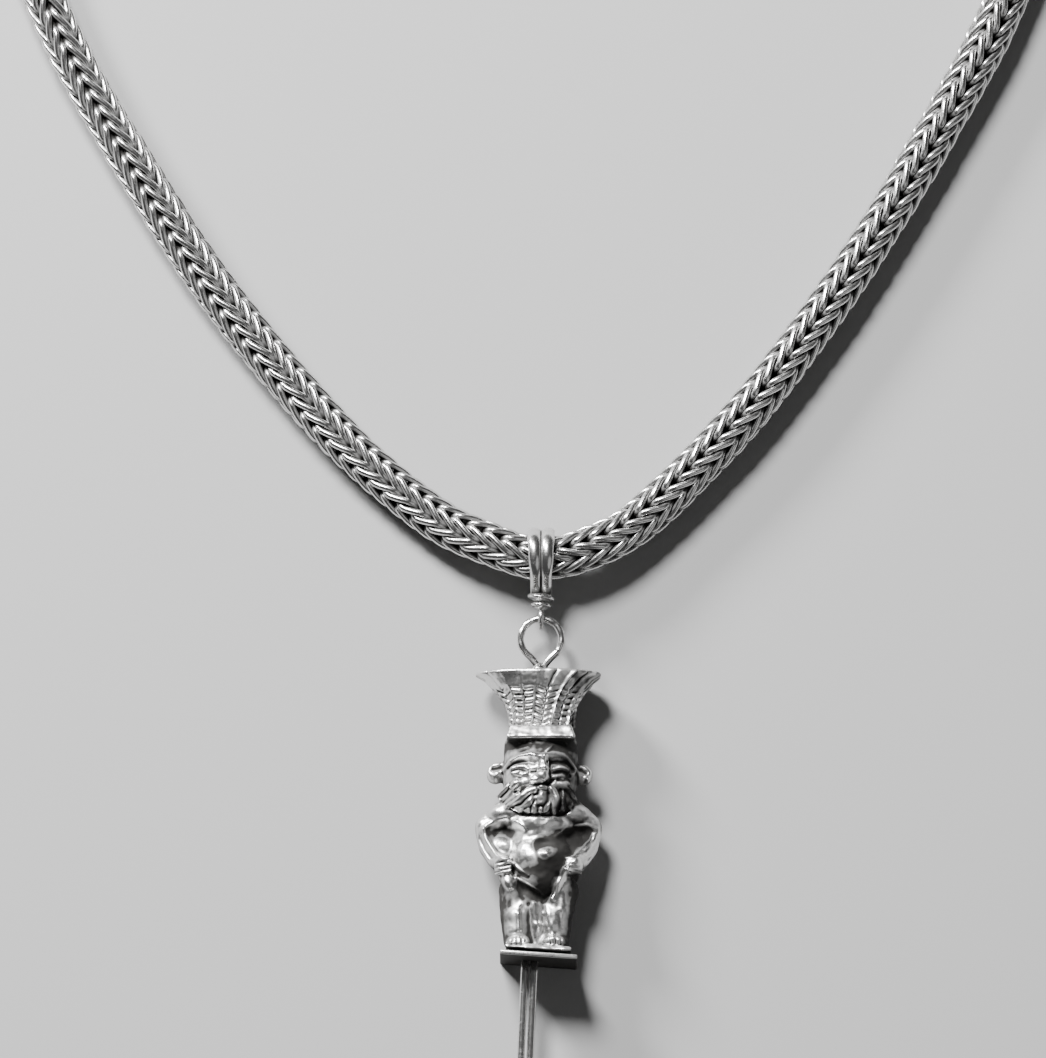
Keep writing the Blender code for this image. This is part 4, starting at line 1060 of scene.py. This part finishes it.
# Painted shade (more than 0) and painted highlights (less than 0) on the amulet: width, amount, and the
# points across and up.
PAINTED_SHADE_AND_HIGHLIGHTS = (
    # painted shadow on the cap's band, painted shade on the face's right and the beard, a painted highlight
    # at left
    (1.9, 0.70, ((-11.5, 72.6), (-4.0, 72.4), (13.0, 72.4))),
    (4.0, 0.50, ((9.9, 67.0), (9.4, 60.0), (10.5, 54.0))),
    (2.4, 0.35, ((9.5, 53.0), (7.0, 49.5))), (1.4, 0.40, ((0.8, 53.2), (0.8, 51.0))),
    (3.0, -0.50, ((-3.0, 67.5), (-1.6, 64.0), (-5.0, 59.0))),
    # painted highlights on the crown and slab at the upper left and on two ribs, painted shade at the right
    (4.2, -0.50, ((-18.0, 98.0), (-10.0, 96.0), (-3.0, 96.5))), (2.4, -0.30, ((-9.0, 90.0), (-6.5, 84.0))),
    (4.0, 0.32, ((4.5, 98.0), (13.0, 96.5), (15.0, 90.0), (11.0, 83.0))),
    (1.9, -0.45, ((-9.0, 77.4), (11.0, 77.4))),
    (0.8, -0.60, ((11.7, 96.2), (8.4, 89.0), (4.0, 81.3))),
    (0.8, -0.60, ((15.6, 93.7), (11.5, 86.0), (7.5, 79.5))),
    # painted shade in the hollow right of and under the navel, and a painted highlight on the navel's boss
    (2.8, 0.95, ((17.0, 42.6), (10.5, 41.0), (4.6, 38.8), (0.4, 38.2))),
    (4.0, 0.90, ((13.0, 38.4), (9.0, 33.6), (4.8, 28.2), (2.2, 22.8))),
    (2.8, 0.75, ((6.0, 29.6), (0.0, 28.2), (-4.0, 27.6))), (1.6, -1.10, ((2.0, 34.0), (3.0, 34.4))),
    (1.1, 0.60, ((-0.8, 37.0), (-0.8, 34.2), (0.2, 31.8))),
    # painted highlights on the shelf, the arms and a fold; painted shade in the left pit and on the right
    # shoulder
    (3.0, -0.45, ((-15.0, 47.8), (-8.0, 46.4), (-2.5, 43.0), (-5.0, 37.0))),
    (2.4, -0.35, ((-12.0, 39.0), (-9.5, 34.5))),
    (2.1, 0.50, ((-17.0, 43.0), (-12.5, 43.6), (-9.5, 41.8))), (2.4, 0.30, ((20.0, 45.5), (14.0, 48.0))),
    (3.0, -0.85, ((19.5, 40.6), (17.4, 36.5), (12.5, 32.2), (9.8, 28.8))),
    (1.5, -0.50, ((9.0, 27.2), (5.2, 19.6))),
    # the legs: painted shade outside, under the belly and between them; painted highlights inside and on a
    # thigh
    (2.8, 0.55, ((-13.6, 23.0), (-14.2, 14.0), (-13.0, 5.0))),
    (2.2, 0.45, ((-10.6, 18.0), (-10.4, 12.0))),
    (2.4, 0.70, ((-6.4, 21.4), (-2.4, 19.0), (1.8, 18.6))),
    (2.0, -0.50, ((-10.6, 27.0), (-10.4, 23.4))), (0.9, -0.50, ((-7.2, 13.6), (-7.0, 8.0))),
    (3.2, 0.80, ((12.6, 26.0), (13.2, 14.0), (11.8, 4.0))),
    (2.2, -0.70, ((7.4, 25.0), (6.4, 18.6), (4.4, 12.0), (3.6, 5.0))),
    (1.4, 0.30, ((-4.0, 17.0), (-3.8, 10.0), (-3.0, 4.0))), (0.9, -0.50, ((-1.6, 16.2), (-1.8, 13.6))),
)


def nearness(points, width, way):
    """1 on a chased line, falling off to its sides."""
    nearest = np.full(len(points), 1e9)
    for start, end in zip(way, way[1:]):
        start, run = np.array(start), np.subtract(end, start)
        share = ramp((points[:, :2] - start) @ run, run @ run)
        nearest = np.minimum(nearest, ((points[:, :2] - start - share[:, None] * run) ** 2).sum(axis=1))
    return np.exp(-nearest / width**2)


def front_relief(points):
    """How far the front moves out or in under the chased lines, ridges and dents."""
    moved = np.zeros(len(points))
    for width, height, way in STROKES:
        moved += height * nearness(points, width, way)
    for middle, radii, height in DENTS:
        moved += height * np.exp(-(((points[:, :2] - middle) / radii) ** 2).sum(axis=1))
    return moved


def cast_lumps(points):
    """The uneven surface of a casting: broad lumps and finer ones, the same at every run."""
    broad = [noise.noise(Vector(point) * 0.21) for point in points]
    fine = [noise.noise(Vector(point) * 0.62) for point in points]
    return np.array(broad) * 0.50 + np.array(fine) * 0.14


def cast_skin(voxel):
    """The clay forms fused into one skin and cut flat behind, with the plumed crown on them."""
    clay = Clay()
    head(clay)
    body(clay)
    slab_and_step(clay)
    skin = clay.skin(voxel, 6)
    bm = bmesh.new()
    bm.from_mesh(skin)
    geometry = bm.verts[:] + bm.edges[:] + bm.faces[:]
    bmesh.ops.bisect_plane(bm, geom=geometry, plane_co=(0, 0, 0.02), plane_no=(0, 0, -1), clear_outer=True)
    border = [edge for edge in bm.edges if edge.is_boundary]
    bmesh.ops.triangle_fill(bm, edges=border, use_beauty=True)
    crown = bpy.data.meshes.new("crown")
    points, faces = crown_shape()
    crown.from_pydata([tuple(point) for point in points], [], faces)
    bm.from_mesh(crown)
    bpy.data.meshes.remove(crown)
    bmesh.ops.recalc_face_normals(bm, faces=bm.faces)
    bm.to_mesh(skin)
    bm.free()
    skin.update()
    return skin


def work_relief(skin, strength):
    """Works the casting's lumps and the chased lines into the skin, and rounds its steep places."""
    points, _, normals = mesh_arrays(skin)
    forward = ramp(normals[:, 2] - 0.05, 0.5) * ramp(points[:, 2] - 9, 4)
    below_crown = ramp(80 - points[:, 1], 2)
    relief = front_relief(points) * forward * below_crown * strength
    lumps = cast_lumps(points) * ramp(points[:, 2] - 2, 4)
    points += normals * lumps[:, None] * np.array((0.5, 0.5, 1.0))
    points[:, 2] += relief
    move_verts(skin, points)
    points, edges, normals = mesh_arrays(skin)
    steep = ramp(0.7 - normals[:, 2:], 0.3).repeat(3, axis=1)
    steep += hollows(steep, edges, 3, 1.0)
    steep *= (ramp(points[:, 2] - 1, 3) * below_crown)[:, None]
    points += hollows(points, edges, 2, 1.0) * steep
    points[:, 2] = np.maximum(points[:, 2], 0)
    move_verts(skin, points)


def store_amulet_darkening(skin):
    """Keeps how dark the amulet is: tarnish in hollows, tarnish and painted shade on its sides, the table's
    painted light.
    """
    points, edges, normals = mesh_arrays(skin)
    fine = (hollows(points, edges, 4, 0.35) * normals).sum(axis=1)
    broad = (hollows(points, edges, 40, 2.2) * normals).sum(axis=1)
    depth = np.maximum(fine * 0.8 + broad * 0.6, -0.12)
    # Tarnish in the fine and broad hollows; the steep sides get tarnish and painted shade; the table adds
    # painted shade and highlights.
    store_darkening(skin, depth + steep_side_tarnish_and_shade(normals) ** 1.3 * 0.75
                 + sum(amount * nearness(points, width, way) for width, amount, way in PAINTED_SHADE_AND_HIGHLIGHTS))


def amulet_mesh(settings):
    """The amulet, worked in percentages of its height, then brought to its size and place."""
    percent = settings.height / 100
    skin = cast_skin(settings.voxel / percent)
    work_relief(skin, settings.relief)
    store_amulet_darkening(skin)
    place = np.array(ORIGIN) + (FIGURE_X, CROWN_TOP - settings.height, 0)
    move_verts(skin, mesh_arrays(skin)[0] * percent + place)
    return skin


class NECKLACE_OT_amulet(bpy.types.Operator):
    """Cast the amulet with its plumed crown"""
    bl_idname = "necklace.amulet"
    bl_label = "Amulet"

    def execute(self, context):
        finish = silver("cast_silver_worn_painted_shade", wear=1.1, patchy=0.28, pits=0.5, rough=0.09)
        skin = amulet_mesh(context.scene.necklace_amulet)
        skin.name = "amulet_cast"
        add_piece("amulet_cast", skin, finish, "amulet_figure")
        return {"FINISHED"}


# The caps and the clasp.


CAP_WALL = 0.00045
CAP_BOSS = 0.0011
CAP_DOME = 0.00155
BEAD_WIDTH = 0.0009
BEAD_DEPTH = 0.00012
CLASP_WIRE = 0.0009
HOOK_BEND = 0.0012
HOOK_REACH = 0.0056
CLASP_EYE_RADIUS = 0.00195


def cap_shape(face, direction):
    """A turned end cap with two beaded bands and a bore for the chain."""
    rim, bore = CAP_RADIUS, CAP_RADIUS - CAP_WALL
    profile = [(0.0004, 0.0), (CAP_BOSS, 0.0)]
    for i in range(9):
        angle = math.pi / 2 * i / 8
        out = CAP_BOSS + (rim - CAP_BOSS) * math.sin(angle) * 0.985
        profile.append((out, CAP_DOME * (1 - math.cos(angle)) + 0.0001))
    for start, end in ((0.0024, 0.0058), (0.0058, 0.0071)):
        for i in range(9):
            profile.append((rim - BEAD_DEPTH * (1 - math.sin(math.pi * i / 8)), start + BEAD_WIDTH * i / 8))
        bare = np.linspace(start + BEAD_WIDTH, end, 14)[1:-1]
        profile += [(rim - BEAD_DEPTH, along) for along in bare]
    profile += [(rim, 0.0074), (rim, 0.00785), (rim - CAP_WALL * 0.3, CAP_LENGTH)]
    profile += [(bore, CAP_LENGTH), (bore, 0.0013), (0.0004, 0.0013)]
    return turned([(radius, -along * direction) for radius, along in profile], 48,
                  (face, NECKLACE_LENGTH, CAP_RADIUS), axis="X")


class NECKLACE_OT_clasp(bpy.types.Operator):
    """Turn the end caps and bend the hook and eye"""
    bl_idname = "necklace.clasp"
    bl_label = "Caps and clasp"

    def execute(self, context):
        finish = silver("clasp_silver", pits=0.4, shade=0.85, rough=0.06)
        for name, face, direction in (("left", CAP_FACE_LEFT, 1), ("right", CAP_FACE_RIGHT, -1)):
            piece_from(f"end_cap_{name}", cap_shape(face, direction), finish, f"terminal_cap_{name}",
                       angle=40, reach=0.00012, base=0.06)
        middle = (0, NECKLACE_LENGTH, CAP_RADIUS)
        bend, reach = HOOK_BEND, HOOK_REACH
        points = [(-reach - LET_IN, 0, 0), (-reach * 0.82, 0, bend * 0.12), (-reach * 0.6, 0, bend * 0.75),
                  (-reach * 0.42, 0, bend)]
        for i in range(9):
            angle = math.pi / 2 - math.pi * i / 8
            points.append((bend * math.cos(angle), 0, bend * math.sin(angle)))
        points.append((-bend * 1.25, 0, -bend * 0.9))
        hook = tube(curve_points(points, 3) + middle, CLASP_WIRE / 2, 16)
        piece_from("hook_wire", hook, finish, "clasp_hook", base=0.06)
        eye = CLASP_EYE_RADIUS
        ring = np.array([(eye + eye * c, eye * s, 0) for c, s in circle(48)])
        stem = np.linspace((2 * eye, 0, 0), (CAP_FACE_RIGHT + LET_IN, 0, 0), 6)
        shapes = joined([tube(ring + middle, CLASP_WIRE / 2, 16, closed=True),
                         tube(stem + middle, CLASP_WIRE * 0.47, 16)])
        piece_from("eye_wire", shapes, finish, "clasp_eye", base=0.06)
        return {"FINISHED"}


# The stage.


PHOTO_WIDTH = 0.1058
CAMERA_HEIGHT = math.radians(80)
FLOOR_GAP = 0.00002


def lamp(name, aim, away, size, power):
    """A round soft light that shines on the aim from a distance away."""
    light = bpy.data.lights.new(name, "AREA")
    light.shape = "DISK"
    light.size = size
    light.energy = power
    holder = in_scene(name, light)
    holder.location = aim + Vector(away)
    holder.rotation_euler = (-Vector(away)).to_track_quat("-Z", "Y").to_euler()


class NECKLACE_OT_stage(bpy.types.Operator):
    """Set the plain floor, the soft lights and the camera"""
    bl_idname = "necklace.stage"
    bl_label = "Stage"

    def execute(self, context):
        settings = context.scene.necklace_stage
        mesh = bpy.data.meshes.new("floor")
        mesh.from_pydata([(-3, -3, 0), (3, -3, 0), (3, 3, 0), (-3, 3, 0)], [], [(0, 1, 2, 3)])
        paper = Finish("floor_paper")
        mesh.materials.append(paper.finish(**{"Base Color": (*settings.floor, 1), "Roughness": 0.9}))
        floor = in_scene("floor", mesh)
        floor.location.z = -FLOOR_GAP
        world = bpy.data.worlds.new("soft_room")
        context.scene.world = world
        world.use_nodes = True
        background = world.node_tree.nodes["Background"]
        background.inputs["Color"].default_value = (0.76, 0.76, 0.76, 1)
        background.inputs["Strength"].default_value = settings.room
        middle = ORIGIN + Vector((-0.0018, 0.003, 0.0031))
        lamp("key", middle, (-0.15, 0.32, 0.42), 0.16, settings.key)
        lamp("side", middle, (-0.42, 0.46, 0.27), 0.16, settings.side)
        lamp("fill", middle, (0.35, -0.25, 0.45), 0.5, settings.fill)
        camera = bpy.data.cameras.new("photo_camera")
        camera.lens = settings.lens
        camera.sensor_width = 36
        distance = settings.lens / camera.sensor_width * PHOTO_WIDTH
        camera.clip_start = 0.01
        holder = in_scene("photo_camera", camera)
        away = Vector((0, -math.cos(CAMERA_HEIGHT), math.sin(CAMERA_HEIGHT)))
        holder.location = middle + away * distance
        holder.rotation_euler = (middle - holder.location).to_track_quat("-Z", "Y").to_euler()
        context.scene.camera = holder
        return {"FINISHED"}


class NECKLACE_PT_panel(bpy.types.Panel):
    bl_label = "Necklace"
    bl_idname = "NECKLACE_PT_panel"
    bl_space_type = "VIEW_3D"
    bl_region_type = "UI"
    bl_category = "Necklace"

    def draw(self, context):
        for group, kind in GROUPS.items():
            box = self.layout.box()
            for name in kind.__annotations__:
                box.prop(getattr(context.scene, group), name)
        for operator in OPERATORS:
            self.layout.operator(operator.bl_idname)


OPERATORS = (NECKLACE_OT_chain, NECKLACE_OT_bail, NECKLACE_OT_ring, NECKLACE_OT_amulet, NECKLACE_OT_plate,
             NECKLACE_OT_lower_wires, NECKLACE_OT_clasp, NECKLACE_OT_stage)
GROUPS = {"necklace_chain": ChainSettings, "necklace_amulet": AmuletSettings,
          "necklace_finish": FinishSettings, "necklace_stage": StageSettings}


def register():
    for kind in (*GROUPS.values(), *OPERATORS, NECKLACE_PT_panel):
        bpy.utils.register_class(kind)
    for name, group in GROUPS.items():
        setattr(bpy.types.Scene, name, bpy.props.PointerProperty(type=group))


def unregister():
    for name in GROUPS:
        delattr(bpy.types.Scene, name)
    for kind in reversed((*GROUPS.values(), *OPERATORS, NECKLACE_PT_panel)):
        bpy.utils.unregister_class(kind)


def main():
    register()
    bpy.ops.necklace.chain()
    bpy.ops.necklace.bail()
    bpy.ops.necklace.ring()
    bpy.ops.necklace.amulet()
    bpy.ops.necklace.plate()
    bpy.ops.necklace.lower_wires()
    bpy.ops.necklace.clasp()
    bpy.ops.necklace.stage()
    bpy.context.view_layer.update()


if __name__ == "__main__":
    main()
